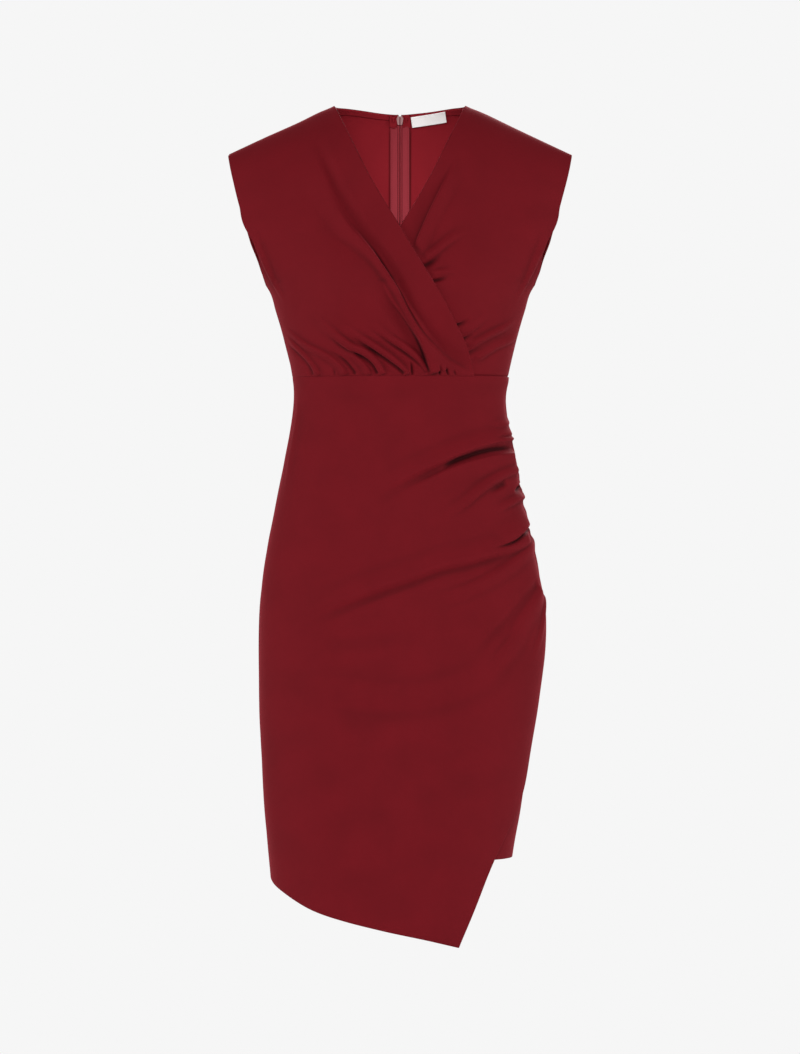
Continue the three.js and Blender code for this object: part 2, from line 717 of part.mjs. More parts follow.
// The tab hangs from its own bar, which runs through the slider's ring. Its bar is at z = 0.
function tabSolid() {
  const side = tab.wide / 2;
  const outline = [
    [side * 0.9, 0.2],
    [side * 0.75, 0.45],
    [-side * 0.75, 0.45],
    [-side * 0.9, 0.2],
    [-side * 0.82, -slider.ring - 1.6],
    [-side, -tab.long + side * 1.2],
    ...[-150, -120, -90, -60, -30].map((a) => [
      side * Math.cos(a * DEGREE),
      -tab.long + side + side * Math.sin(a * DEGREE),
    ]),
    [side, -tab.long + side * 1.2],
    [side * 0.82, -slider.ring - 1.6],
  ].map(([x, y]) => new THREE.Vector2(x, y));
  const half = tab.window / 2;
  const hole = [
    [-half, -tab.bar / 2],
    [half, -tab.bar / 2],
    [half, -slider.ring - 0.7],
    [-half, -slider.ring - 0.7],
  ].map(([x, y]) => new THREE.Vector2(x, y));
  return plate(outline, tab.thick, hole).rotateX(Math.PI / 2);
}

const zipFittings = new THREE.Group();
zipFittings.position.copy(surface(180, zipDown));
zipFittings.rotation.x = lean;
dress.add(zipFittings);

const sliderMesh = new THREE.Mesh(sliderSolid(), lacquer);
sliderMesh.name = "zip_slider";
const tabMesh = new THREE.Mesh(tabSolid(), lacquer);
tabMesh.name = "zip_pull_tab";
tabMesh.position.y = ringOut;
tabMesh.rotation.x = -tab.lean * DEGREE;
zipFittings.add(sliderMesh, tabMesh);

export default dress;
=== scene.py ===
# A sleeveless wrap dress in wine crepe, filled out as worn: the cloth shells, their folds and finish.
import json
import math
import bpy
import numpy as np
from mathutils import Vector
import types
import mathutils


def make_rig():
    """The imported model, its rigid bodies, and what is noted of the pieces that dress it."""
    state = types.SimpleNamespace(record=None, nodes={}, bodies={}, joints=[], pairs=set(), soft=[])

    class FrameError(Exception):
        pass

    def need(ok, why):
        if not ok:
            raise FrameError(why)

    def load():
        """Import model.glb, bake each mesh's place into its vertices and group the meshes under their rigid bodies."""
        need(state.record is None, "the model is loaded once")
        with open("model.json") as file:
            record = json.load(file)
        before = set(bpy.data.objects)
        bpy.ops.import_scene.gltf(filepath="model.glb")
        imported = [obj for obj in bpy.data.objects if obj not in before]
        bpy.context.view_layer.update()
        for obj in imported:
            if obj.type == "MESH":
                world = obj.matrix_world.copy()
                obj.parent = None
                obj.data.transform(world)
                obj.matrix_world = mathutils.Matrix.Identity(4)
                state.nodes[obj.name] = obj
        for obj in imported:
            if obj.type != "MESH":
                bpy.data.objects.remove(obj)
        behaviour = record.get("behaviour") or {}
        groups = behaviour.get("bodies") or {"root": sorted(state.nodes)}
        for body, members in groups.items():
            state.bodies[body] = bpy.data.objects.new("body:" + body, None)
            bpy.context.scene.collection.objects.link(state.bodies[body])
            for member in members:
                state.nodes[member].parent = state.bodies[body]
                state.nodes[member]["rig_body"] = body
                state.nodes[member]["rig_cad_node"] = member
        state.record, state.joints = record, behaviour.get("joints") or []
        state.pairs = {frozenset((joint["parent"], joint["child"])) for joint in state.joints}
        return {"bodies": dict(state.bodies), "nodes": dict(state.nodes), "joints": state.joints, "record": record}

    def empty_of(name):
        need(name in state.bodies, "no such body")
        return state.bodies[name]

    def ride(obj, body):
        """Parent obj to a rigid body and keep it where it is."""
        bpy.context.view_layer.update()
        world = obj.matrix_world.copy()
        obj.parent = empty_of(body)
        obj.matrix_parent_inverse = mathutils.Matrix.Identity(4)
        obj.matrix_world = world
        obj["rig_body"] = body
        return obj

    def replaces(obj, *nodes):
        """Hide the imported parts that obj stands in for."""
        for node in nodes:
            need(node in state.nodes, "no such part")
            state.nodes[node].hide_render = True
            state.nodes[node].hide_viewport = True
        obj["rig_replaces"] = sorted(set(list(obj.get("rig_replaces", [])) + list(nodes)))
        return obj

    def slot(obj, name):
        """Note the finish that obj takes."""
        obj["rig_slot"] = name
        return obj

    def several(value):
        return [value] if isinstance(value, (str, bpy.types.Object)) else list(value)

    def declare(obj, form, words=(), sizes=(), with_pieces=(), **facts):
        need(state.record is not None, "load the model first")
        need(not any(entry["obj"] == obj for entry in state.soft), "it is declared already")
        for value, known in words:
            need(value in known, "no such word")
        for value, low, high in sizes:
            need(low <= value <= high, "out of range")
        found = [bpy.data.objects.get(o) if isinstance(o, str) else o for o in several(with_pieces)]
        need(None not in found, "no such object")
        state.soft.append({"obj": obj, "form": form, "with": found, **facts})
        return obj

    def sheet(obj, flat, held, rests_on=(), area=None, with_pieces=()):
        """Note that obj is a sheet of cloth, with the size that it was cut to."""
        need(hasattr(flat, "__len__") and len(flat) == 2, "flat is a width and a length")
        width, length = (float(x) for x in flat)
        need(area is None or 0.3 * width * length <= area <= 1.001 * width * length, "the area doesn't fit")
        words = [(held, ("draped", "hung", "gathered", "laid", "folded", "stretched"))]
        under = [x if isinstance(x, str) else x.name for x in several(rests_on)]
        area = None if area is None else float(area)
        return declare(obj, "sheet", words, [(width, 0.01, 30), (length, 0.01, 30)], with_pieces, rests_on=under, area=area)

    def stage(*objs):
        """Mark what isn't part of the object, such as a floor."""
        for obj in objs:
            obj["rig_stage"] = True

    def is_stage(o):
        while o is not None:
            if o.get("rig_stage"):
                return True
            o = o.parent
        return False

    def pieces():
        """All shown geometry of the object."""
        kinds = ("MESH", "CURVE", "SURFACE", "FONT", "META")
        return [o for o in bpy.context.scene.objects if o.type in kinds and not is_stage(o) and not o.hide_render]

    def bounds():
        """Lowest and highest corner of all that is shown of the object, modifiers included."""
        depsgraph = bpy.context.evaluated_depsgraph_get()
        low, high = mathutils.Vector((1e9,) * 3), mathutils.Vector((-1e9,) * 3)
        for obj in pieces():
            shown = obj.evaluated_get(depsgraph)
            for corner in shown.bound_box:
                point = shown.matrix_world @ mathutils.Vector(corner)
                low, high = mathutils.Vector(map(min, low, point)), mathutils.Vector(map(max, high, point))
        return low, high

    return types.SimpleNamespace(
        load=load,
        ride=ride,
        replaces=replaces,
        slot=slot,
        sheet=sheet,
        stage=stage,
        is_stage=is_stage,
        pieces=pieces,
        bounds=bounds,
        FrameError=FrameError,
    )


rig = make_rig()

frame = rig.load()
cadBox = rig.bounds()
print("frame:", len(frame["nodes"]), "nodes on", len(frame["bodies"]), "bodies")

mm = 0.001  # everything below is in millimetres until a mesh is made

cloth = {
    "wall": 1.6,     # the outer face lies where the cut's wall has it
    "thick": 1.1,    # cloth as drawn
    "turned": 1.9,   # where an edge is turned in
    "layer": 1.7,    # between the wrapped layers
    "seamLayer": 0.9,
}
neck = {"half": 81, "backDrop": 5.7, "facing": 5.4}
shoulder = {"slope": 0.474, "crown": 15, "melt": 200}
neckCorner = {"drop": 1.7, "beyond": 3, "wide": 13, "fades": 60}
shoulderDip = {"drop": 1.6, "x": -122, "wide": 30, "fades": 90}
waistDown = 339
armhole = {"roundFrom": 166, "bottom": 224, "sewnFrom": -6, "sewnTo": 4}  # the last two from its bottom
hem = {"right": 961, "under": 938}
zipper = {"end": 505, "slot": 1.1, "slotLength": 22, "parting": 1.5, "partingLength": 6}
roll = {"front": (105, 2.2), "back": (80, 2.5)}  # how far down the shoulder rolls over, and how round
bust = {"across": 76, "down": 236, "wide": 46, "tall": 50, "rise": 12}
square = 2.2  # how boxy the girth is: 2 is an ellipse
underEdgeAngle = -38
justBehind = 90.001  # the side line, on the side of the back
sideGap = -0.35  # sewn panels press together

# The worn form: down, then half widths to the wearer's right and left, then depths front and back.
form = np.array([
    (0, 238, 238, 78, 66),
    (50, 228, 228, 86, 80),
    (100, 220, 220, 97, 95),
    (150, 217, 218, 109, 102),
    (200, 184, 186, 120, 100),
    (230, 162, 163, 124, 96),
    (255, 154, 155, 122, 93),
    (292, 143.7, 144.5, 112, 87),
    (339, 133, 133.3, 100, 82),
    (368, 131.2, 127.4, 94, 81),
    (405, 136, 132, 93, 87),
    (455, 145, 143, 96, 101),
    (505, 155.5, 151, 101, 116),
    (555, 164.8, 163, 105, 127),
    (617, 172.7, 176, 108, 131),
    (680, 174.9, 177, 108, 128),
    (742, 174.7, 168.8, 107, 120),
    (805, 172, 160, 106, 113),
    (867, 168, 151, 105, 108),
    (930, 163, 140, 104, 105),
    (1051, 152, 123, 102, 102),
], float)

# Edges, as on the cut: x and down for the wrap, angle and down for the skirt's upper layer.
wrapEdge = [(-81, 0), (-66, 34), (-43, 82), (-21, 122), (0, 157), (18, 188), (41, 225), (62, 263),
            (82, 306), (90, 339)]
# The armholes: down, then degrees short of the side line on the front and on the back.
armholeEdge = [(0, 10, 8.8), (45, 11.2, 11.4), (90, 12.8, 13.5), (120, 14.6, 14.8), (150, 17.2, 15.8),
               (175, 19, 14.8), (224, 19, 13.4)]
overHem = [(-90, 962), (-72, 977.5), (-53, 999), (-36, 1011), (-12, 1022.5), (18, 1034.5), (39, 1044.5)]
overEdge = [(90, 339), (90, 614), (89, 700), (85, 800), (79, 855), (61, 935), (50.5, 989), (39, 1044.5)]


def mix(a, b, share):
    return a + (b - a) * share


def smooth(low, high, value):
    t = np.clip((np.asarray(value, float) - low) / (high - low), 0, 1)
    return t * t * (3 - 2 * t)


def throughPoints(xs, ys):
    # a smooth curve through points, the same that the cut uses
    xs, ys = np.asarray(xs, float), np.asarray(ys, float)
    last = len(xs) - 1
    before = np.maximum(np.arange(last + 1) - 1, 0)
    after = np.minimum(np.arange(last + 1) + 1, last)
    tangent = (ys[after] - ys[before]) / (xs[after] - xs[before])

    def read(value):
        at = np.clip(value, xs[0], xs[-1])
        k = np.clip(np.searchsorted(xs, at, side="right") - 1, 0, last - 1)
        span = xs[k + 1] - xs[k]
        t = (at - xs[k]) / span
        start = ys[k] * (1 + 2 * t) * (1 - t) ** 2 + tangent[k] * span * t * (1 - t) ** 2
        return start + ys[k + 1] * t * t * (3 - 2 * t) + tangent[k + 1] * span * t * t * (t - 1)
    return read


formRight, formLeft, formFront, formBack = [throughPoints(form[:, 0], form[:, k]) for k in range(1, 5)]


def shoulderLine(x):
    crown = shoulder["crown"]
    return -shoulder["slope"] * (np.hypot(x, crown) - math.hypot(neck["half"], crown))


def follows(down):
    return 1 - smooth(0, shoulder["melt"], down)


def opened(down, side):
    left = 1 - np.clip(down / side[0], 0, 1)
    return (1 - left ** side[1]) ** (1 / side[1])


def widths(angle, down):
    back = np.abs(angle) > 90
    wide = np.where(angle < 0, formRight(down), formLeft(down))
    deep = np.where(back, formBack(down), formFront(down))
    return wide, deep, back


def dip(away, down, size):
    return size["drop"] * np.exp(-(away / size["wide"]) ** 2) * (1 - smooth(0, size["fades"], down))


def surface(angle, down):
    # places on the worn form, for angles from the middle of the front and millimetres down the cloth
    angle, down = np.broadcast_arrays(np.asarray(angle, float), np.asarray(down, float))
    sine, cosine = np.sin(np.radians(angle)), np.cos(np.radians(angle))
    wide, deep, back = widths(angle, down)
    reach = (np.abs(sine / wide) ** square + np.abs(cosine / deep) ** square) ** (-1 / square)
    x = reach * sine
    y = -reach * cosine * np.where(back, opened(down, roll["back"]), opened(down, roll["front"]))
    y = y + np.where(back, sideGap, -sideGap)
    side, level = np.abs(x) - bust["across"], down - bust["down"]
    swell = bust["rise"] * np.exp(-((side / bust["wide"]) ** 2) - (level / bust["tall"]) ** 2) * cosine
    y = y - np.where(back, 0, swell)
    softer = dip(np.abs(x) - neck["half"] - neckCorner["beyond"], down, neckCorner)
    softer = softer + dip(x - shoulderDip["x"], down, shoulderDip)
    return np.stack([x, y, shoulderLine(x) * follows(down) - down - softer], -1)


def unit(vectors):
    return vectors / np.maximum(np.linalg.norm(vectors, axis=-1, keepdims=True), 1e-12)


def outward(angle, down):
    turn, drop = 0.4, 0.8  # degrees and millimetres to each side
    across = surface(angle + turn, down) - surface(angle - turn, down)
    fall = surface(angle, down + drop) - surface(angle, np.maximum(down - drop, 0))
    return unit(np.cross(fall, across))


def angleAt(x, down, back=False):
    wide = np.where(np.asarray(x) < 0, formRight(down), formLeft(down))
    deep = formBack(down) if back else formFront(down)
    share = np.minimum(np.abs(x) / wide, 1)
    angle = np.degrees(np.arctan2(np.abs(x), deep * (1 - share ** square) ** (1 / square)))
    return np.sign(x) * (180 - angle if back else angle)


def downAt(x, z):
    down = -np.asarray(z, float)
    for _ in range(30):
        down = mix(down, shoulderLine(x) * follows(down) - z, 0.7)
    return np.maximum(down, 0)


def unroll(angle, down, back=False):
    # place on the flat cloth: across from the middle of the front or back, and down
    wide, deep, _ = widths(angle, down)
    turned = np.where(back, np.sign(angle) * (180 - np.abs(angle)), angle)
    return turned / 90 * (wide + deep) / 2 * (math.pi / 2), down


def perDegree(angle, down):
    wide, deep, _ = widths(angle, down)
    return (wide + deep) / 2 * (math.pi / 2) / 90

# Folds, one to a row. path: crest, or bottom of a trough where rise is negative, as x and down seen
# from the front. left, right: how far it runs out to each side, looking along the path, as one width
# or as widths along it. fade: share of the path over which each end dies away. lean: how far the
# crest hangs over to its left.
foldColumns = ("rise", "left", "right", "fade", "lean", "path")
foldSteps = 36
bodiceRightFolds = [
    # the narrow pleat beside the smooth band of the wrap, which opens out to a flat tongue at the waist
    (6.0, [12, 11, 10, 9, 8, 7, 8, 12, 20, 34], [24, 24, 22, 18, 13, 9, 7, 5, 4, 4], (0.45, 0.01), 2.2, [
      (-112, 58), (-94, 104), (-78, 138), (-66, 158), (-53, 173), (-38, 191), (-24, 210), (-9, 232),
      (3, 253), (14, 273), (24, 296), (32, 316), (37, 338)]),
    (-3.6, [10, 13, 16, 20, 20], [9, 9, 7, 6, 6], (0.2, 0.06), 0, [(-108, 34), (-95, 68), (-79, 105),
      (-64, 134), (-50, 157), (-38, 178), (-26, 195), (-13, 216), (2, 241), (9, 256), (19, 273),
      (29, 287), (43, 301), (60, 317), (78, 328), (91, 336)]),
    (-5.6, 4, 3.2, (0.3, 0.4), 0, [(-54, 151), (-40, 176), (-27, 195), (-14, 216), (1, 241), (8, 256),
      (18, 273), (28, 287), (42, 301), (59, 317), (76, 328)]),
    # the valley on its other side
    (-4.2, 4, 17, (0.5, 0.02), 0, [(-34, 214), (-24, 228), (-12, 250), (2, 268), (13, 285), (21, 298),
      (28, 315), (34, 338)]),
    (-1.6, 16, 22, (0.5, 0.5), 0, [(-114, 114), (-89, 149), (-61, 176), (-34, 206)]),
    # gathers that rise from the waist seam: a soft ridge, and a sharp trough below it
    (3.8, 5, 14, (0.6, 0.02), 1.4, [(-36, 272), (-12, 291), (6, 303), (19, 314), (28, 326), (34, 338)]),
    (-3.6, 3.4, 3.4, (0.6, 0.02), 0, [(-44, 276), (-14, 299), (4, 311), (17, 321), (25, 329), (32, 338)]),
    (4.6, 5, 13, (0.55, 0.02), 1.8, [(-76, 274), (-56, 286), (-35, 299), (-14, 314), (1, 327), (10, 338)]),
    (-4.4, 3.6, 3.6, (0.5, 0.02), 0, [(-64, 287), (-40, 304), (-19, 319), (-4, 330), (5, 338)]),
    (4.4, 5, 13, (0.5, 0.02), 1.6, [(-104, 264), (-82, 282), (-60, 300), (-42, 309), (-28, 322),
      (-20, 338)]),
    (-3.6, 3.2, 3.2, (0.5, 0.02), 0, [(-90, 286), (-64, 308), (-46, 316), (-34, 326), (-27, 338)]),
    (3.6, 4, 9, (0.6, 0.02), 1, [(-99, 268), (-75, 291), (-55, 314), (-43, 326), (-36, 338)]),
    (-2.8, 3.2, 3.2, (0.6, 0.02), 0, [(-86, 306), (-68, 319), (-56, 333), (-54, 338)]),
    (3.2, 4, 9, (0.5, 0.02), 1, [(-144, 275), (-114, 299), (-90, 311), (-72, 325), (-64, 338)]),
    (2.8, 4, 9, (0.4, 0.02), 0.8, [(-141, 288), (-126, 302), (-113, 314), (-101, 329), (-97, 338)]),
    (-2.0, 3, 8, (0.4, 0.02), 0, [(-139, 298), (-124, 311), (-110, 324), (-104, 338)]),
    # short tucks in the seam
    (-3.2, 2.6, 2.6, (0.7, 0), 0, [(13, 318), (15, 338)]),
    (-2.8, 2.4, 2.4, (0.7, 0), 0, [(46, 322), (48, 338)]),
    (-3.0, 2.4, 2.4, (0.7, 0), 0, [(54, 325), (58, 338)]),
    (-2.0, 2.2, 2.2, (0.7, 0), 0, [(64, 330), (67, 338)]),
    (-1.6, 2.2, 2.2, (0.7, 0), 0, [(-80, 328), (-78, 338)]),
    # the ridge that carries the armhole's edge on below the arm
    (2.8, 9, 7, (0.3, 0.45), 0, [(-186, 158), (-175, 179), (-168, 193), (-160, 211), (-153, 226),
      (-147, 237), (-138, 252)]),
]
bodiceLeftFolds = [
    (5.2, 18, 5, (0.45, 0.1), -1.2, [(72, 72), (57, 102), (46, 124), (36, 145), (26, 168), (18, 188)]),
    (3.4, 9, 5, (0.1, 0.7), 0, [(30, 198), (44, 189), (64, 173), (88, 160)]),
    (-4.4, 4, 9, (0, 0.7), 0, [(20, 207), (30, 205), (42, 199), (54, 190)]),
    (2.8, 5, 4, (0.1, 0.6), 0, [(36, 217), (52, 214), (68, 212)]),
    (-3.6, 4, 4, (0, 0.7), 0, [(34, 226), (46, 224), (62, 220)]),
    (-4.6, 4, 5, (0, 0.7), 0, [(60, 282), (72, 278), (86, 270)]),
    (2.6, 9, 5, (0.1, 0.7), 0, [(66, 288), (84, 284), (112, 262)]),
    (-3.8, 3.6, 4, (0, 0.7), 0, [(68, 299), (78, 295), (92, 287)]),
    (4.2, 6, 7, (0.1, 0.5), 0.8, [(80, 305), (92, 298), (112, 287), (144, 268)]),
    (-2.8, 4, 6, (0, 0.7), 0, [(72, 318), (86, 311), (104, 301)]),
    (3.4, 9, 6, (0.1, 0.5), 0.4, [(86, 322), (98, 315), (120, 301), (148, 283)]),
    (2.6, 7, 9, (0.3, 0.45), 0, [(186, 158), (175, 179), (168, 193), (160, 211), (153, 226), (147, 237),
      (138, 252)]),
]
skirtFolds = [
    # the deepest pair, where most of the cloth is drawn into the side
    (4.6, [5, 5, 6, 10, 16, 20], 22, (0.06, 0.6), 1.2, [(138, 416), (118, 420), (99, 425), (81, 431),
      (50, 444), (2, 466), (-45, 494)]),
    (-7.0, 6, 6.2, (0.4, 0.22), 0, [(140, 427), (118, 430), (99, 434), (81, 440), (65, 446), (48, 455)]),
    (-1.3, 14, 10, (0.3, 0.5), 0, [(60, 449), (40, 459), (12, 471), (-14, 485), (-36, 499)]),
    (3.4, 26, 5, (0.05, 0.45), -1, [(138, 437), (118, 440), (92, 446), (68, 454), (40, 467), (0, 487)]),
    # small puckers above and below it
    (1.8, 4, 9, (0.02, 0.6), 0.5, [(134, 396), (118, 401), (104, 404)]),
    (-2.2, 3, 3, (0.3, 0.5), 0, [(134, 413), (122, 414), (108, 417)]),
    (3.8, 7, 12, (0.02, 0.5), 0.4, [(141, 456), (132, 459), (118, 466), (100, 479), (78, 498), (50, 518)]),
    (-3.5, 6, 8, (0.25, 0.6), 0, [(131, 471), (120, 477), (104, 487)]),
    (-5.4, 5, 5, (0.2, 0.5), 0, [(147, 473), (144, 479), (137, 484)]),
    (3.8, 6, 9, (0.02, 0.5), 0.6, [(148, 489), (142, 492), (130, 499), (112, 508)]),
    # the sharp crease, and the cloth that swells over it
    (4.6, 4.5, 26, (0.2, 0.45), 1.8, [(158, 517), (148, 530), (138, 537), (124, 543), (106, 548)]),
    (-5.0, 2.8, 2.8, (0.02, 0.4), 0, [(160, 525), (149, 537), (138, 545), (124, 550), (108, 553)]),
    # the long diagonal that runs across to the far hip
    (4.2, [9, 11, 13, 15, 18], 26, (0.05, 0.3), 0.4, [(158, 540), (140, 551), (111, 559), (80, 568),
      (50, 574), (19, 585), (-42, 606), (-118, 636)]),
    (-1.9, 14, 10, (0.1, 0.2), 0, [(134, 560), (111, 568), (80, 576), (50, 583), (19, 594), (-42, 615),
      (-112, 642)]),
    (3.0, 16, 9, (0.05, 0.5), 0, [(162, 540), (152, 558), (131, 576), (108, 590), (76, 605), (30, 620)]),
    # the folds that drop from the end of the side seam
    (-1.9, 13, 11, (0.06, 0.5), 0, [(168, 597), (158, 608), (143, 626), (124, 648), (105, 668), (84, 691)]),
    (2.6, 18, 12, (0.04, 0.5), -0.3, [(171, 601), (153, 637), (137, 669), (118, 695), (96, 725)]),
    (2.2, 9, 7, (0.04, 0.6), 0, [(176, 608), (174, 634), (170, 660), (158, 700)]),
    (-0.9, 22, 22, (0.4, 0.4), 0, [(50, 655), (0, 660), (-61, 669), (-123, 678)]),
    (1.3, 24, 24, (0.3, 0.3), 0, [(134, 668), (112, 700), (68, 723), (19, 735), (-42, 735), (-123, 717)]),
    # a long soft line down the wearer's right hip
    (1.2, 10, 5, (0.3, 0.4), 0, [(-124, 352), (-128, 400), (-136, 450), (-144, 500)]),
]
# How far the gathered side seam stands out from the form: down, outward.
seamRipple = [
    (339, 0), (352, 0.4), (364, 1.4), (385, 1.9), (392, 1.3), (398, 1.1), (407, 0.9), (413, 0.9),
    (420, 2.0), (425, 2.3), (431, 2.0), (438, 1.2), (442, 1.0), (450, 0.7), (454, 0.1), (461, 1.6),
    (469, 0.8), (472, 1.8), (480, 3.0), (484, 2.0), (488, 1.1), (493, 2.0), (499, 1.4), (506, 3.4),
    (510, 3.3), (515, 2.0), (519, 0.8), (523, 0.9), (528, 2.6), (533, 2.7), (538, 1.6), (543, 1.2),
    (548, 1.8), (553, 2.2), (559, 2.3), (574, 1.9), (582, 0.8), (589, -0.4), (598, -0.6), (604, -0.6),
    (610, -1.4), (614, -1.2), (640, 0.4),
]
# Soft folds on the plain back.
backFolds = [
    (2.4, 9, 14, (0.3, 0.5), 0, [(-132, 292), (-98, 314), (-60, 326), (-24, 330)]),
    (2.6, 14, 8, (0.3, 0.5), 0, [(134, 296), (94, 318), (60, 328), (22, 331)]),
    (1.8, 9, 9, (0.3, 0.5), 0, [(138, 270), (112, 282), (84, 302)]),
    (1.6, 16, 12, (0.3, 0.6), 0, [(-176, 196), (-130, 216), (-80, 246), (-40, 282)]),
    (1.6, 12, 16, (0.3, 0.6), 0, [(176, 198), (134, 222), (86, 250), (48, 290)]),
]
skirtBackFolds = [
    (2.6, 14, 8, (0.12, 0.6), 0, [(140, 430), (96, 426), (50, 414), (14, 408)]),
    (-2.4, 5, 5, (0.15, 0.6), 0, [(142, 441), (112, 440), (78, 434)]),
    (2.4, 7, 12, (0.12, 0.6), 0, [(148, 468), (122, 474), (88, 476), (48, 472)]),
    (3.2, 16, 8, (0.1, 0.6), 0, [(156, 512), (118, 524), (74, 532), (24, 534)]),
    (-2.6, 5, 6, (0.12, 0.6), 0, [(158, 524), (124, 537), (86, 545)]),
    (2.8, 18, 10, (0.1, 0.6), 0, [(168, 562), (132, 588), (92, 608), (40, 624)]),
    (1.8, 12, 12, (0.1, 0.6), 0, [(172, 604), (150, 640), (122, 676), (96, 716)]),
    (1.6, 12, 14, (0.3, 0.6), 0, [(-140, 400), (-96, 392), (-50, 386), (-12, 384)]),
    (1.4, 18, 18, (0.4, 0.4), 0, [(-120, 660), (-60, 690), (20, 700), (100, 676)]),
]

def prepare(rows, back=False):
    # each fold's line on the flat cloth, and its widths at even steps along it
    ready, even = [], np.linspace(0, 1, foldSteps)
    for row in rows:
        fold = dict(zip(foldColumns, row))
        x, below = np.array(fold["path"], float).T
        down = downAt(x, -below)
        points = np.stack(unroll(angleAt(x, down, back), down, back), -1)
        walked = np.concatenate([[0], np.cumsum(np.linalg.norm(np.diff(points, axis=0), axis=1))])
        at = np.linspace(0, walked[-1], foldSteps)
        fold["line"] = np.stack([throughPoints(walked, points[:, k])(at) for k in (0, 1)], -1)
        for side in ("left", "right"):
            wide = np.atleast_1d(fold[side])
            fold[side] = np.interp(even, np.linspace(0, 1, len(wide)), wide)
        ready.append(fold)
    return ready


def foldField(folds, across, along):
    # height and sideways slide of all folds at places on the flat cloth
    ridges, troughs = np.zeros_like(across), np.zeros_like(across)
    slide = np.zeros(across.shape + (2,))
    for fold in folds:
        line, widest = fold["line"], max(fold["left"].max(), fold["right"].max()) + 2
        near = ((across > line[:, 0].min() - widest) & (across < line[:, 0].max() + widest)
                & (along > line[:, 1].min() - widest) & (along < line[:, 1].max() + widest))
        place = np.stack([across[near], along[near]], -1)
        closest = np.full(len(place), 1e9)
        share, side = np.zeros(len(place)), np.zeros(len(place))
        toLeft = np.zeros((len(place), 2))
        for i, (start, step) in enumerate(zip(line[:-1], np.diff(line, axis=0))):
            offset = place - start
            t = np.clip(offset @ step / (step @ step), 0, 1)
            away = np.linalg.norm(offset - t[:, None] * step, axis=1)
            better = away < closest
            closest[better] = away[better]
            share[better] = (i + t[better]) / (len(line) - 1)
            side[better] = (step[0] * offset[:, 1] - step[1] * offset[:, 0])[better]
            toLeft[better] = np.array([step[1], -step[0]]) / np.linalg.norm(step)
        at = np.linspace(0, 1, len(line))
        toRight, toLeftSide = [np.interp(share, at, fold[name]) for name in ("right", "left")]
        reach = np.where(side > 0, toRight, toLeftSide)
        first, last = fold["fade"]
        ends = (smooth(0, first, share) if first else 1) * (smooth(0, last, 1 - share) if last else 1)
        shape = ends * (1 - smooth(0, 1, closest / reach))
        if fold["rise"] > 0:
            ridges[near] = (ridges[near] ** 4 + (fold["rise"] * shape) ** 4) ** 0.25
        else:
            troughs[near] = -(troughs[near] ** 4 + (fold["rise"] * shape) ** 4) ** 0.25
        if fold["lean"]:
            slide[near] += (fold["lean"] * shape)[:, None] * toLeft
    return ridges + troughs, slide


def unevenness(across, along, seed, size=0.45):
    # long, shallow waves that keep the cloth from looking like a plate
    random = np.random.default_rng(seed)
    height = np.zeros_like(across)
    for wave in (150, 95, 62):
        for _ in range(3):
            heading, phase = random.uniform(0, math.pi), random.uniform(0, 2 * math.pi)
            run = across * math.cos(heading) + along * math.sin(heading)
            height += np.sin(2 * math.pi * run / wave + phase) * size * (wave / 150) ** 1.3 / 2
    return height


def steps(count, density=lambda t: 1 + 0 * t):
    # shares from 0 to 1, closer together where the density is higher
    samples = 800
    total = np.concatenate([[0], np.cumsum(density((np.arange(samples) + 0.5) / samples))])
    return np.interp(np.linspace(0, total[-1], count + 1), total, np.linspace(0, 1, samples + 1))


def boundary(points, even):
    # an edge through points of angle and down, at even steps of one of the two
    table = np.array(points, float)
    share = (table[:, even] - table[0, even]) / (table[-1, even] - table[0, even])
    angle, down = throughPoints(share, table[:, 0]), throughPoints(share, table[:, 1])
    return lambda s: (angle(s), down(s))


def level(start, end, down):
    # a straight edge that keeps its place down
    return lambda s: (mix(start, end, s), down + 0 * s)


def between(top, bottom, sideA, sideB):
    # fills a panel between its four edges, as shares across and down
    corners = [[edge(np.float64(s)) for s in (0, 1)] for edge in (top, bottom)]

    def place(u, v):
        t, b, a, c = top(u), bottom(u), sideA(v), sideB(v)
        found = []
        for k in (0, 1):
            upper, lower = [mix(row[0][k], row[1][k], u) for row in corners]
            found.append(mix(t[k], b[k], v) + mix(a[k], c[k], u) - mix(upper, lower, v))
        return found
    return place


def blurred(grid, cells):
    # running mean along both axes of a grid
    count = 2 * cells + 1
    for axis in (0, 1):
        padded = np.pad(grid, [(cells, cells) if k == axis else (0, 0) for k in (0, 1)], mode="edge")
        total = np.cumsum(np.insert(padded, 0, 0, axis=axis), axis=axis)
        low = np.arange(grid.shape[axis])
        grid = (np.take(total, low + count, axis) - np.take(total, low, axis)) / count
    return grid


def paintedFoldShade(height, fullDepth=2.4):
    # how far a place lies below the cloth round it: the mask for painted shade deep in a fold
    hollow = blurred(blurred(height, 3), 2) - height
    return np.clip(hollow / fullDepth, 0, 1)


def addObject(name, data):
    thing = bpy.data.objects.new(name, data)
    bpy.context.scene.collection.objects.link(thing)
    return thing


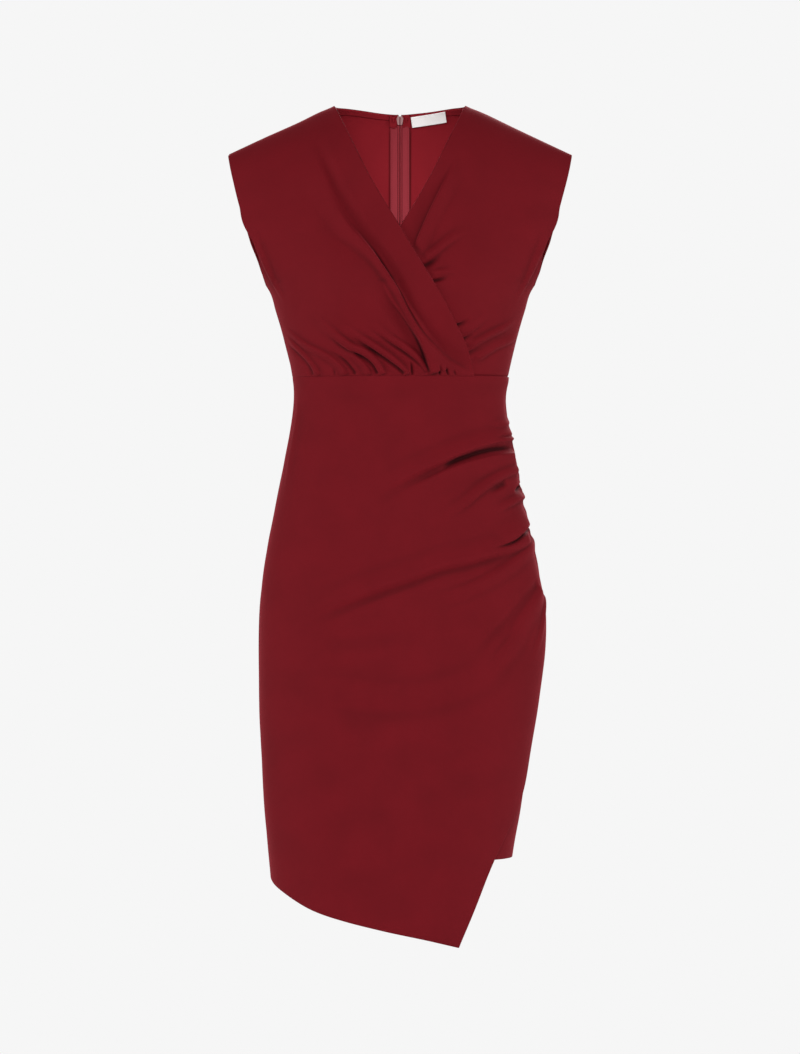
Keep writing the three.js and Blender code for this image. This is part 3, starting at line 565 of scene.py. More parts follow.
def makeMesh(name, points, faces, materials, kinds=None, flat=None, crease=None):
    mesh = bpy.data.meshes.new(name)
    mesh.vertices.add(len(points))
    mesh.vertices.foreach_set("co", (np.asarray(points) * mm).ravel())
    mesh.loops.add(faces.size)
    mesh.loops.foreach_set("vertex_index", faces.ravel())
    mesh.polygons.add(len(faces))
    mesh.polygons.foreach_set("loop_start", np.arange(len(faces)) * 4)
    if kinds is not None:
        mesh.polygons.foreach_set("material_index", kinds)
    mesh.polygons.foreach_set("use_smooth", np.ones(len(faces), bool))
    if flat is not None:
        uv = mesh.uv_layers.new(name="flatCloth")
        uv.data.foreach_set("uv", (flat[faces.ravel()]).ravel())
    # painted shade, kept as a mask on the points: deep in folds, and beside the zip tape
    if crease is not None:
        mesh.attributes.new("crease", "FLOAT", "POINT").data.foreach_set("value", crease.astype(np.float32))
    for material in materials:
        mesh.materials.append(material)
    mesh.update(calc_edges=True)
    mesh.validate()
    return addObject(name, mesh)


def perimeter(wide, tall):
    index = np.arange(wide * tall).reshape(tall, wide)
    return np.concatenate([index[0, :-1], index[:-1, -1], index[-1, :0:-1], index[:0:-1, 0]])

# A closed shell of cloth over the form: outer face, inner face and a round rim.
# lift: height over the form at which the cut's wall starts. calm, calmHollows: share of the folds kept.
# innerShade: a mask of painted shadow for the inner face.
def clothShell(name, place, columns, rows, lift, materials, folds=(), back=False, seed=1, thick=None,
               calm=None, calmHollows=None, innerShade=None):
    u, v = np.meshgrid(columns, rows)
    angle, down = place(u, v)
    across, along = unroll(angle, down, back)
    height, slide = foldField(folds, across, along)
    keep = 1 if calm is None else calm(angle, down)
    keepHollows = keep if calmHollows is None else calmHollows(angle, down)
    height = np.where(height > 0, height * keep, height * keepHollows)
    height = height + unevenness(across, along, seed) * keep
    slide = slide * (keep[..., None] if np.ndim(keep) else keep)
    # painted shade deep in the folds, from how far each place lies below the cloth round it
    crease = paintedFoldShade(height)
    moved = angle + (-1 if back else 1) * slide[..., 0] / perDegree(angle, down)
    lowered = down + slide[..., 1]
    base = surface(moved, lowered)
    push = outward(moved, lowered)
    push[..., 1] *= smooth(0, 6, lowered)  # front and back rise alike at the shoulder seam
    outer = base + unit(push) * (lift(angle, down) + cloth["wall"] + height)[..., None]
    goAcross, goDown = np.gradient(outer, axis=1), np.gradient(outer, axis=0)
    normal = unit(np.cross(goAcross, goDown))
    flipped = np.sum(normal * outward(angle, down)) < 0
    if flipped:
        normal = -normal
    thickness = np.full(u.shape, cloth["thick"]) if thick is None else thick(u, v)
    tall, wide = u.shape
    out = np.zeros_like(outer)
    out[0] += unit(outer[0] - outer[1])
    out[-1] += unit(outer[-1] - outer[-2])
    out[:, 0] += unit(outer[:, 0] - outer[:, 1])
    out[:, -1] += unit(outer[:, -1] - outer[:, -2])
    ring = perimeter(wide, tall)
    outer, normal, out = [grid.reshape(-1, 3) for grid in (outer, normal, out)]
    half = thickness.ravel() / 2
    out[ring] = unit(out[ring] - normal[ring] * np.sum(out[ring] * normal[ring], -1, keepdims=True))
    outer[ring] -= out[ring] * half[ring, None]
    inner = outer - normal * 2 * half[:, None]
    centre = outer[ring] - normal[ring] * half[ring, None]
    rims = []
    for tilt in (45, 0, -45):
        turn = math.radians(tilt)
        around = normal[ring] * math.sin(turn) + out[ring] * math.cos(turn)
        rims.append(centre + around * half[ring, None])
    count = wide * tall
    points = np.concatenate([outer, inner] + rims)
    flat = np.stack([across, along], -1).reshape(-1, 2)
    flat = np.concatenate([flat, flat] + [flat[ring]] * 3)
    # painted shadow on the inner face, where a mask for it is given
    within = np.zeros(count) if innerShade is None else innerShade(angle, down).ravel()
    crease = np.concatenate([crease.ravel(), within, np.zeros(3 * len(ring))])
    index = np.arange(count).reshape(tall, wide)
    quads = np.stack([index[:-1, :-1], index[:-1, 1:], index[1:, 1:], index[1:, :-1]], -1).reshape(-1, 4)
    rings = [ring] + [2 * count + k * len(ring) + np.arange(len(ring)) for k in range(3)] + [ring + count]
    faces, kinds = [quads, quads[:, ::-1] + count], [0 * quads[:, 0], 0 * quads[:, 0] + 1]
    for k, (a, b) in enumerate(zip(rings[:-1], rings[1:])):
        strip = np.stack([np.roll(a, -1), a, b, np.roll(b, -1)], -1)
        faces.append(strip)
        kinds.append(0 * strip[:, 0] + (0 if k < 3 else 1))
    faces = np.concatenate(faces)
    if flipped:
        faces = faces[:, ::-1]
    faces, kinds = np.ascontiguousarray(faces), np.concatenate(kinds)
    return makeMesh(name, points, faces, materials, kinds, flat, crease)

print("colours and finishes")
colours = {
    "crepe": (0.099, 0.0026, 0.0056, 1),
    # the wrong side of the same crepe, its colour painted about twice as bright to stand in for light that reaches the
    # inside
    "crepeInside": (0.218, 0.0095, 0.016, 1),
    "thread": (0.145, 0.0075, 0.013, 1),
    "cord": (0.05, 0.003, 0.006, 1),
    "tape": (0.275, 0.029, 0.040, 1),
    "coil": (0.34, 0.034, 0.046, 1),
    "label": (0.97, 0.955, 0.94, 1),
    "lacquer": (0.66, 0.38, 0.38, 1),
}
clothLook = {
    "grain": 1.3,        # grains to a millimetre
    "bump": 0.25,
    "roughness": 0.78,
    "sheen": 0.22,
    "sheenTint": (1, 0.12, 0.16, 1),
    "shine": 0.08,
    "vary": 0.1,         # slow change of tone
    "crease": 0.8,       # how much the painted shade darkens the deepest fold
}


def setInputs(tree, node, values):
    # each input gets a plain value, or a link from another node's output
    for key, value in values.items():
        if isinstance(value, bpy.types.NodeSocket):
            tree.links.new(value, node.inputs[key])
        else:
            node.inputs[key].default_value = value


def addNode(tree, kind, values=(), **settings):
    node = tree.nodes.new(kind)
    for key, value in settings.items():
        setattr(node, key, value)
    setInputs(tree, node, dict(values))
    return node


def nodeTree(name, kind, inputs, outputs):
    tree, identifiers = bpy.data.node_groups.new(name, kind), {}
    for label, socketKind, value in inputs:
        socket = tree.interface.new_socket(label, in_out="INPUT", socket_type=socketKind)
        identifiers[label] = socket.identifier
        if value is not None:
            socket.default_value = value
    for label, socketKind in outputs:
        tree.interface.new_socket(label, in_out="OUTPUT", socket_type=socketKind)
    return tree, identifiers, addNode(tree, "NodeGroupInput"), addNode(tree, "NodeGroupOutput")


def crepeWeaveGroup():
    # pebbled crepe: a fine grain, faint ribs of the weave, and slow change of tone
    tree, _, given, result = nodeTree("crepe weave", "ShaderNodeTree", [
        ("Flat cloth", "NodeSocketVector", None),
        ("Grain per mm", "NodeSocketFloat", 1.3),
        ("Ribs per mm", "NodeSocketFloat", 1.1),
    ], [("Height", "NodeSocketFloat"), ("Tone", "NodeSocketFloat")])
    flat, ribShare = given.outputs["Flat cloth"], 0.35
    grain = addNode(tree, "ShaderNodeTexNoise", {
        "Vector": flat, "Scale": given.outputs["Grain per mm"], "Detail": 3, "Roughness": 0.6})
    ribs = addNode(tree, "ShaderNodeTexWave", {
        "Vector": flat, "Scale": given.outputs["Ribs per mm"], "Distortion": 1.5, "Detail": 1},
        bands_direction="DIAGONAL")
    height = addNode(tree, "ShaderNodeMath", {
        0: ribs.outputs["Fac"], 1: ribShare, 2: grain.outputs["Fac"]}, operation="MULTIPLY_ADD")
    slow = addNode(tree, "ShaderNodeTexNoise", {"Vector": flat, "Scale": 0.02, "Detail": 4})
    setInputs(tree, result, {"Height": height.outputs[0], "Tone": slow.outputs["Fac"]})
    return tree


crepeWeave = crepeWeaveGroup()


def spread(tree, value, low, high, start=0, end=1):
    # maps a mask from start to end onto low to high
    limits = {"Value": value, "From Min": start, "From Max": end, "To Min": low, "To Max": high}
    return addNode(tree, "ShaderNodeMapRange", limits).outputs["Result"]


def product(tree, a, b):
    return addNode(tree, "ShaderNodeMath", {0: a, 1: b}, operation="MULTIPLY").outputs[0]


def newMaterial(name, values):
    material = bpy.data.materials.new(name)
    material.use_nodes = True
    tree = material.node_tree
    shader = tree.nodes["Principled BSDF"]
    setInputs(tree, shader, values)
    return material, tree, shader


def clothMaterial(name, colour, **changes):
    look = {**clothLook, **changes}
    material, tree, shader = newMaterial(name, {
        "Sheen Weight": look["sheen"], "Sheen Roughness": 0.35, "Sheen Tint": look["sheenTint"],
        "Specular IOR Level": look["shine"]})
    flat = addNode(tree, "ShaderNodeUVMap", uv_map="flatCloth")
    weave = addNode(tree, "ShaderNodeGroup", {
        "Grain per mm": look["grain"], "Flat cloth": flat.outputs["UV"]}, node_tree=crepeWeave)
    height, rough = weave.outputs["Height"], look["roughness"]
    tone = spread(tree, weave.outputs["Tone"], 1 - look["vary"] / 2, 1 + look["vary"] / 2, 0.3, 0.7)
    threads = spread(tree, height, 0.9, 1.1, 0.4, 0.95)
    # painted shade: the base colour darkens where the mask is set, in folds and beside the zip tape
    hollow = addNode(tree, "ShaderNodeAttribute", attribute_name="crease")
    shade = spread(tree, hollow.outputs["Fac"], 1, 1 - look["crease"])
    shaded = product(tree, product(tree, tone, threads), shade)
    tint = addNode(tree, "ShaderNodeVectorMath", {0: colour[:3], "Scale": shaded}, operation="SCALE")
    raised = addNode(tree, "ShaderNodeBump", {
        "Strength": look["bump"], "Distance": 0.0002, "Height": height})
    setInputs(tree, shader, {
        "Base Color": tint.outputs[0], "Roughness": spread(tree, height, rough - 0.06, rough + 0.08),
        "Normal": raised.outputs["Normal"]})
    return material


def speckle(tree, shader, colour, dark, light, scale, detail=2, onObject=True):
    # a fine change between two shades of a colour; hands back its mask
    speck = addNode(tree, "ShaderNodeTexNoise", {"Scale": scale, "Detail": detail})
    if onObject:
        place = addNode(tree, "ShaderNodeTexCoord")
        setInputs(tree, speck, {"Vector": place.outputs["Object"]})
    ramp = addNode(tree, "ShaderNodeValToRGB", {"Fac": speck.outputs["Fac"]})
    for element, share in zip(ramp.color_ramp.elements, (dark, light)):
        element.color = tuple(share * c for c in colour[:3]) + (1,)
    setInputs(tree, shader, {"Base Color": ramp.outputs["Color"]})
    return speck.outputs["Fac"]


def metalMaterial():
    material, tree, shader = newMaterial("lacquered metal", {"Metallic": 0.35})
    speck = speckle(tree, shader, colours["lacquer"], 0.8, 1, 900, 3)
    setInputs(tree, shader, {"Roughness": spread(tree, speck, 0.28, 0.42)})
    return material


def threadMaterial(name, colour, roughness):
    material, tree, shader = newMaterial(name, {"Specular IOR Level": 0.1, "Roughness": roughness})
    speckle(tree, shader, colour, 0.75, 1.2, 2500)
    return material


crepe = clothMaterial("crepe", colours["crepe"])
# the wrong side: its own lower sheen, and a colour painted brighter to stand in for light on the inside of the back
crepeInside = clothMaterial("crepe wrong side", colours["crepeInside"], sheen=0.05, bump=0.2)
tapeWeave = clothMaterial("zip tape weave", colours["tape"], grain=2.2, bump=0.5, roughness=0.7, sheen=0.1)
labelSatin = clothMaterial("label satin", colours["label"], grain=2.5, bump=0.15, roughness=0.45, sheen=0)
lacquer = metalMaterial()
coilNylon = threadMaterial("zip coil nylon", colours["coil"], 0.45)
thread = threadMaterial("sewing thread", colours["thread"], 0.7)
deepThread = threadMaterial("coil cord", colours["cord"], 0.8)
paleThread = threadMaterial("label thread", colours["label"], 0.6)

print("bodice and skirt panels")
bodiceEnd = waistDown - sideGap
skirtStart = waistDown + sideGap
# In these tables a pair says where a change begins and ends, in degrees or in millimetres down.
waistSeam = {"deep": 0.85, "reach": 2.4, "calm": 0.45, "calmReach": 5, "skirtReach": 14,
             "plain": 0.4, "plainFrom": (-36, -62), "plainTo": (-100, -90)}
sideSeam = {"deep": 0.9, "reach": 2.5, "opens": (600, 622), "ripples": (2, 16)}
centreSeam = {"deep": 1.1, "reach": 3.6, "overlap": 0.15, "closesOver": 3}
wrap = {"rises": (-36, -4), "sinks": (2, -26), "sinkDeep": 5.6, "sinkAboveWaist": 26,
        "ridgesFrom": (-1, 7), "hollowsFrom": (-9, -4)}
overLayer = {"rises": (-86, -46), "freeOver": 40, "side": (78, 90), "sideEnds": (600, 640),
             "height": 0.1, "heldWithin": 9, "rollDeep": 0.3, "calmEnds": (606, 630), "calmWithin": 7}
underLayer = {"sinkDeep": 7, "sinksOver": 30, "sinkEnds": (640, 720), "side": 8, "sideDeep": 2}
zipShadow = {"starts": (10.6, 11.8), "ends": (12.6, 15.4), "left": 0.8, "right": 0.6, "below": (8, 20)}
turnedIn = {"edge": 0.03, "backNeck": 0.01, "hem": 0.012, "free": 0.015}  # shares of the panel
layerLift = cloth["wall"] + cloth["layer"]
cells = {  # across and down
    "bodiceRight": (225, 205), "bodiceLeft": (150, 205), "bodiceBack": (120, 120),
    "over": (175, 265), "under": (70, 150), "skirtBack": (90, 150),
    "facing": (60, 8), "tape": (8, 160), "tuck": (24, 20), "label": (40, 14),
}
wrapX, wrapZ = np.array(wrapEdge, float).T
wrapDown = downAt(wrapX, -wrapZ)
wrapTable = np.stack([angleAt(wrapX, wrapDown), wrapDown], -1)
wrapLine = boundary(wrapTable, 1)
wrapAngle = throughPoints(wrapTable[:, 1], wrapTable[:, 0])
armholeDown, armholeFront, armholeBack = np.array(armholeEdge, float).T
frontGap, backGap = throughPoints(armholeDown, armholeFront), throughPoints(armholeDown, armholeBack)
ripple = throughPoints(*np.array(seamRipple, float).T)


def armholeGap(down, back):
    past = np.clip((down - armhole["roundFrom"]) / (armhole["bottom"] - armhole["roundFrom"]), 0, 1)
    return (backGap if back else frontGap)(down) * np.sqrt(1 - past ** 2)


def outerEdge(turn, back, last):
    # the armhole, then the side seam
    def edge(share):
        down = last * share
        gap = armholeGap(down, back)
        return turn * (justBehind + gap if back else 90 - gap), down
    return edge


def bodiceFrontPlace(turn):
    def edge(share):
        angle, down = wrapLine(share)
        return -turn * angle, down - sideGap * share
    outer = outerEdge(turn, False, bodiceEnd)
    top, bottom = [level(outer(end)[0], edge(end)[0], bodiceEnd * end) for end in (0.0, 1.0)]
    return between(top, bottom, outer, edge)


def seamDistance(angle, down):
    # millimetres from the side line
    return np.abs(90 - np.abs(angle)) * perDegree(angle, down)


def belowWaist(down, reach=waistSeam["skirtReach"]):
    return smooth(waistDown, waistDown + reach, down)


def sideSewn(down):
    return 1 - smooth(*sideSeam["opens"], down)


def groove(angle, down):
    # cloth rolls in at the waist seam, least at the wearer's right front
    plain = smooth(*waistSeam["plainFrom"], angle) * smooth(*waistSeam["plainTo"], angle)
    near = 1 - smooth(0, waistSeam["reach"], np.abs(down - waistDown))
    return -waistSeam["deep"] * mix(1, waistSeam["plain"], plain) * near


def sideRoll(angle, down, deep=sideSeam["deep"]):
    sewn = smooth(armhole["bottom"] + armhole["sewnFrom"], armhole["bottom"] + armhole["sewnTo"], down)
    return -deep * sewn * (1 - smooth(0, sideSeam["reach"], seamDistance(angle, down)))


def seams(angle, down):
    return groove(angle, down) + sideRoll(angle, down)


def sideRipple(angle, down):
    # the drawn-up side seam of the wearer's left
    near = 1 - smooth(*sideSeam["ripples"], seamDistance(angle, down))
    return np.where(angle > 0, ripple(down) * sideSewn(down) * near, 0)


def bodiceRightLift(angle, down):
    return layerLift * smooth(*wrap["rises"], angle + wrapAngle(down)) + seams(angle, down)


def bodiceLeftLift(angle, down):
    above = 1 - smooth(waistDown - wrap["sinkAboveWaist"], waistDown, down)
    hidden = smooth(*wrap["sinks"], angle - wrapAngle(down)) * above
    return seams(angle, down) - wrap["sinkDeep"] * hidden


def nearWaist(angle, down):
    return 1 - waistSeam["calm"] * smooth(waistDown - waistSeam["calmReach"], waistDown, down)


def leftCalm(angle, down):
    return smooth(*wrap["ridgesFrom"], angle - wrapAngle(down)) * nearWaist(angle, down)


def leftHollows(angle, down):
    return smooth(*wrap["hollowsFrom"], angle - wrapAngle(down)) * nearWaist(angle, down)


def turnedEdges(*sides):
    # thicker where an edge is turned in: sides as (axis, end, reach as a share)
    def thick(u, v):
        amount = np.zeros_like(u)
        for axis, end, reach in sides:
            value = u if axis == "u" else v
            amount = np.maximum(amount, 1 - smooth(0, reach, np.abs(value - end)))
        return mix(cloth["thick"], cloth["turned"], amount)
    return thick


crepeFaces = [crepe, crepeInside]
rightColumns, rowCount = cells["bodiceRight"]
# closer rows toward the gathers and at the shoulder
bodiceRows = steps(rowCount, lambda t: 1 + 0.9 * smooth(0.45, 0.8, t) + 2 * (1 - smooth(0, 0.04, t)))
frontEdges = turnedEdges(("u", 1, turnedIn["edge"]), ("u", 0, turnedIn["edge"]))
right = clothShell("bodiceFrontRight", bodiceFrontPlace(-1),
                   steps(rightColumns, lambda t: 1 + 0.6 * smooth(0.3, 0.6, t)), bodiceRows,
                   bodiceRightLift, crepeFaces, prepare(bodiceRightFolds), seed=3, thick=frontEdges,
                   calm=nearWaist)
left = clothShell("bodiceFrontLeft", bodiceFrontPlace(1), steps(cells["bodiceLeft"][0]), bodiceRows,
                  bodiceLeftLift, crepeFaces, prepare(bodiceLeftFolds), seed=4, thick=frontEdges,
                  calm=leftCalm, calmHollows=leftHollows)

halfOpening = (zipper["slot"] + zipper["parting"]) / 2
neckTop = float(downAt(halfOpening, -neck["backDrop"]))
neckShare = 0.55  # the share of a back panel's upper edge that is the shoulder


def middle(turn, down):
    # the centre back: open round the slider, sewn below it
    below = down - neckTop
    slot = zipper["slot"] * (1 - smooth(0.8 * zipper["slotLength"], zipper["slotLength"], below))
    parting = zipper["parting"] * (1 - smooth(0, zipper["partingLength"], below))
    closed = smooth(0, centreSeam["closesOver"], below - zipper["slotLength"])
    apart = angleAt(turn * np.maximum(0.1, slot + parting) / 2, down, True)
    return apart + turn * centreSeam["overlap"] * closed


def backNeck(turn, share):
    x = turn * mix(neck["half"], halfOpening, share)
    down = np.where(share == 0, 0, downAt(x, -neck["backDrop"] * smooth(0, 1, share)))
    return angleAt(x, down, True), down


def backPlace(turn):
    # a back panel: turn is 1 on the wearer's left and -1 on the right
    outer = outerEdge(turn, True, bodiceEnd)

    def top(share):
        share = np.asarray(share, float)
        shoulderPart = np.minimum(share / neckShare, 1)
        neckPart = np.clip((share - neckShare) / (1 - neckShare), 0, 1)
        onNeck = backNeck(turn, neckPart)
        onShoulder = mix(outer(0.0)[0], backNeck(turn, np.float64(0))[0], shoulderPart)
        before = share <= neckShare
        return np.where(before, onShoulder, onNeck[0]), np.where(before, 0, onNeck[1])

    def centre(share):
        down = mix(neckTop, bodiceEnd, share)
        return middle(turn, down), down
    return between(top, level(outer(1.0)[0], centre(1.0)[0], bodiceEnd), outer, centre)


def backLift(angle, down):
    fromCentre = (180 - np.abs(angle)) * perDegree(angle, down)
    drawn = sideRipple(angle, down) * belowWaist(down)
    return seams(angle, down) + drawn - centreSeam["deep"] * (1 - smooth(0, centreSeam["reach"], fromCentre))


def besideZip(angle, down):
    # the narrow shadow that the raised tape leaves on the lining side
    across = np.abs(surface(angle, down)[..., 0])
    dark = np.where(angle > 0, zipShadow["left"], zipShadow["right"])
    dark = dark * smooth(*zipShadow["starts"], across) * (1 - smooth(*zipShadow["ends"], across))
    return dark * smooth(*zipShadow["below"], down - neckTop)


def bodiceBack(name, turn):
    columns, rows = cells["bodiceBack"]
    return clothShell(name, backPlace(turn), steps(columns, lambda t: 1 + 2 * smooth(0.8, 0.9, t)),
                      steps(rows, lambda t: 1 + 2 * (1 - smooth(0, 0.05, t))), backLift, crepeFaces,
                      prepare(backFolds, True), back=True, seed=6 + turn, calm=nearWaist,
                      thick=turnedEdges(("u", 0, turnedIn["edge"]), ("v", 0, turnedIn["backNeck"])),
                      innerShade=besideZip)


bothSides = (("Left", 1), ("Right", -1))
backs = {side: bodiceBack("bodiceBack" + side, turn) for side, turn in bothSides}


def overLift(angle, down):
    # over the under layer, but down on the form at both side seams
    sewn = sideSewn(down)
    nearSide = smooth(*overLayer["side"], angle) * (1 - smooth(*overLayer["sideEnds"], down))
    free = belowWaist(down, overLayer["freeOver"]) * (1 - nearSide)
    layer = mix(cloth["seamLayer"], cloth["layer"], free)
    held = 1 - smooth(0, overLayer["heldWithin"], seamDistance(angle, down))
    atSeam = np.where(angle > 0, sewn * held, 0)
    lift = mix((cloth["wall"] + layer) * smooth(*overLayer["rises"], angle), overLayer["height"], atSeam)
    rolled = np.where(angle > 0, sewn, 1) * sideRoll(angle, down, overLayer["rollDeep"])
    return lift + sideRipple(angle, down) * belowWaist(down) + groove(angle, down) + rolled


def overCalm(angle, down):
    sewn = np.where(angle > 0, 1 - smooth(*overLayer["calmEnds"], down), 0)
    held = (1 - smooth(0, overLayer["calmWithin"], seamDistance(angle, down))) * sewn
    return belowWaist(down) * (1 - held)


def skirtOverPlace():
    line = boundary(overEdge, 1)
    side = lambda s: (-90 + 0 * s, mix(skirtStart, overHem[0][1], s))

    def edge(share):
        angle, down = line(share)
        return np.minimum(angle, 90), down + sideGap * (1 - share)
    return between(level(-90, 90, skirtStart), boundary(overHem, 0), side, edge)


overColumns, overRows = cells["over"]
over = clothShell("skirtFrontOver", skirtOverPlace(),
                  steps(overColumns, lambda t: 1 + 1.2 * smooth(0.35, 0.8, t)),
                  steps(overRows, lambda t: 0.7 + 2.1 * smooth(0.03, 0.1, t) * (1 - smooth(0.42, 0.52, t))),
                  overLift, crepeFaces, prepare(skirtFolds), seed=5, calm=overCalm,
                  thick=turnedEdges(("v", 1, turnedIn["hem"]), ("u", 1, turnedIn["free"])))


def skirtPlace(fromLine, toLine, hemAt):
    # a straight skirt panel between two lines that give an angle for a place down
    def line(at):
        def read(share):
            down = mix(skirtStart, hemAt(at(hem["under"])), share)
            return at(down), down
        return read
    a, b = line(fromLine), line(toLine)

    def bottom(share):
        angle = mix(a(1.0)[0], b(1.0)[0], share)
        return angle, hemAt(angle)
    return between(level(a(0.0)[0], b(0.0)[0], skirtStart), bottom, a, b)


def backHem(angle):
    past = np.where(angle < 0, angle + 270, angle - 90)  # degrees from the wearer's left side
    return mix(hem["under"], hem["right"], np.clip(past / 180, 0, 1))


def underLift(angle, down):
    atSide = 1 - smooth(0, underLayer["side"], seamDistance(angle, down))
    sewn = sideSewn(down)
    drawn = sideRipple(angle, down) * belowWaist(down)
    below = belowWaist(down, underLayer["sinksOver"]) * (1 - smooth(*underLayer["sinkEnds"], down))
    below = below * (1 - 0.5 * atSide)
    lift = groove(angle, down) - underLayer["sideDeep"] * atSide * sewn
    return lift + (1 - sewn) * sideRoll(angle, down) + drawn - underLayer["sinkDeep"] * below


def always(value):
    return lambda a, *rest: value + 0 * a


skirtHem = turnedEdges(("v", 1, turnedIn["hem"]))
under = clothShell("skirtFrontUnder", skirtPlace(always(underEdgeAngle), always(90), always(hem["under"])),
                   steps(cells["under"][0]), steps(cells["under"][1]), underLift, crepeFaces, seed=11,
                   calm=lambda a, d: 0.5, thick=skirtHem)


def skirtBack(name, turn):
    place = skirtPlace(always(turn * justBehind), lambda down: middle(turn, down), backHem)
    return clothShell(name, place, steps(cells["skirtBack"][0]), steps(cells["skirtBack"][1]), backLift,
                      crepeFaces, prepare(skirtBackFolds, True), back=True, seed=13 + turn,
                      thick=skirtHem, calm=lambda a, d: belowWaist(d))


skirtBacks = {side: skirtBack("skirtBack" + side, turn) for side, turn in bothSides}

print("facing, zip and label")
# Heights are those of the outer face over the form: below 0 is inside the back panels.
facing = {"height": -0.5, "thick": 0.8, "fromZip": 13}
tape = {"from": 0.6, "to": 12, "height": -0.1, "thick": 0.7}
tuck = {"from": 3.3, "to": 13.6, "above": 1.2, "long": 12.4, "wave": 1.3, "height": -1.0, "thick": 1.0}
label = {"left": 14.2, "top": -7.5, "width": 44, "height": 13, "tilt": 7.5, "lift": -1.9, "thick": 0.6}


def insideStrip(name, place, columns, rows, height, thickness, material, seed, folds=(), calm=0.2):
    return clothShell(name, place, columns, rows, always(height - cloth["wall"]), [material, material],
                      folds, back=True, seed=seed, thick=always(thickness), calm=lambda a, d: calm)


def backFacing(name, turn):
    nearZip = 1 - (1 - neckShare) * facing["fromZip"] / neck["half"]
    columns = neckShare + (nearZip - neckShare) * (0.02 + 0.98 * steps(cells["facing"][0]))
    rows = 0.001 + steps(cells["facing"][1]) * neck["facing"] / (bodiceEnd - neckTop)
    return insideStrip(name, backPlace(turn), columns, rows, facing["height"], facing["thick"],
                       crepeInside, 21)


def zipTape(name, turn):
    def place(u, v):
        down = mix(neckTop + 1, zipper["end"], v)
        return angleAt(turn * mix(tape["from"], tape["to"], u), down, True), down
    columns, rows = [steps(count) for count in cells["tape"]]
    return insideStrip(name, place, columns, rows, tape["height"], tape["thick"], tapeWeave, 23)


def facingTurn(name, turn):
    def place(u, v):
        wavy = (tuck["wave"] * np.sin(6 * u + turn) + 0.5) * mix(1, 0.8, v)
        down = neckTop - tuck["above"] + mix(0, tuck["long"], v) + wavy
        return angleAt(turn * mix(tuck["from"], tuck["to"], u), down, True), down
    pinches = [(1.4, 1.8, 1.8, (0.1, 0.3), 0, [(turn * 5.6, 7), (turn * 7, 16)]),
               (-1.2, 1.5, 1.5, (0.1, 0.3), 0, [(turn * 8, 7), (turn * 8.6, 15)]),
               (1.2, 1.6, 1.6, (0.1, 0.3), 0, [(turn * 11, 8), (turn * 10.4, 15)])]
    columns, rows = [steps(count) for count in cells["tuck"]]
    return insideStrip(name, place, columns, rows, tuck["height"], tuck["thick"], crepeInside,
                       27 + turn, prepare(pinches, True), 1)


facings = {side: backFacing("facing" + side, turn) for side, turn in bothSides}
tapes = {side: zipTape("zipTape" + side, turn) for side, turn in bothSides}
tucks = {side: facingTurn("facingTurn" + side, turn) for side, turn in bothSides}


def onLabel(across, below):
    # a place on the slanted label, as x and down
    tilt = math.radians(label["tilt"])
    x = label["left"] + across * math.cos(tilt) + below * math.sin(tilt)
    return x, downAt(x, label["top"] + across * math.sin(tilt) - below * math.cos(tilt))


def labelPlace(u, v):
    x, down = onLabel(label["width"] * u, label["height"] * v)
    return angleAt(x, down, True), down


labelColumns, labelRows = [steps(count) for count in cells["label"]]
blankLabel = insideStrip("neckLabel", labelPlace, labelColumns, labelRows, label["lift"], label["thick"],
                         labelSatin, 25)


def beadGroup():
    # small rounded beads at an even spacing along the object's own path: coil teeth and stitches
    tree, sockets, given, result = nodeTree("beads along a path", "GeometryNodeTree", [
        ("Geometry", "NodeSocketGeometry", None), ("Spacing", "NodeSocketFloat", 0.0013),
        ("Half Size", "NodeSocketVector", (0.002, 0.0007, 0.0005)),
        ("Follow Path", "NodeSocketBool", False), ("Jitter", "NodeSocketFloat", 0.04),
        ("Seed", "NodeSocketInt", 1), ("Material", "NodeSocketMaterial", None),
    ], [("Geometry", "NodeSocketGeometry")])
    want = given.outputs
    curve = addNode(tree, "GeometryNodeMeshToCurve", {"Mesh": want["Geometry"]})
    points = addNode(tree, "GeometryNodeCurveToPoints", mode="LENGTH", values={
        "Curve": curve.outputs["Curve"], "Length": want["Spacing"]})
    bead = addNode(tree, "GeometryNodeMeshUVSphere", {"Segments": 8, "Rings": 5, "Radius": 1})
    along = addNode(tree, "GeometryNodeSwitch", input_type="ROTATION", values={
        "Switch": want["Follow Path"], "True": points.outputs["Rotation"]})
    lowest, highest = [addNode(tree, "ShaderNodeVectorMath", operation="SCALE", values={
        0: (end, end, end), "Scale": want["Jitter"]}) for end in (-1, 1)]
    shake = addNode(tree, "FunctionNodeRandomValue", data_type="FLOAT_VECTOR", values={
        0: lowest.outputs[0], 1: highest.outputs[0], "Seed": want["Seed"]})
    turn = addNode(tree, "FunctionNodeRotateRotation", rotation_space="LOCAL", values={
        0: along.outputs[0], 1: shake.outputs[0]})
    place = addNode(tree, "GeometryNodeInstanceOnPoints", {
        "Points": points.outputs["Points"], "Instance": bead.outputs["Mesh"],
        "Rotation": turn.outputs[0], "Scale": want["Half Size"]})
    real = addNode(tree, "GeometryNodeRealizeInstances", {"Geometry": place.outputs["Instances"]})
    finish = addNode(tree, "GeometryNodeSetMaterial", {
        "Geometry": real.outputs["Geometry"], "Material": want["Material"]})
    setInputs(tree, result, {"Geometry": finish.outputs["Geometry"]})
    return tree, sockets


beads, beadSockets = beadGroup()


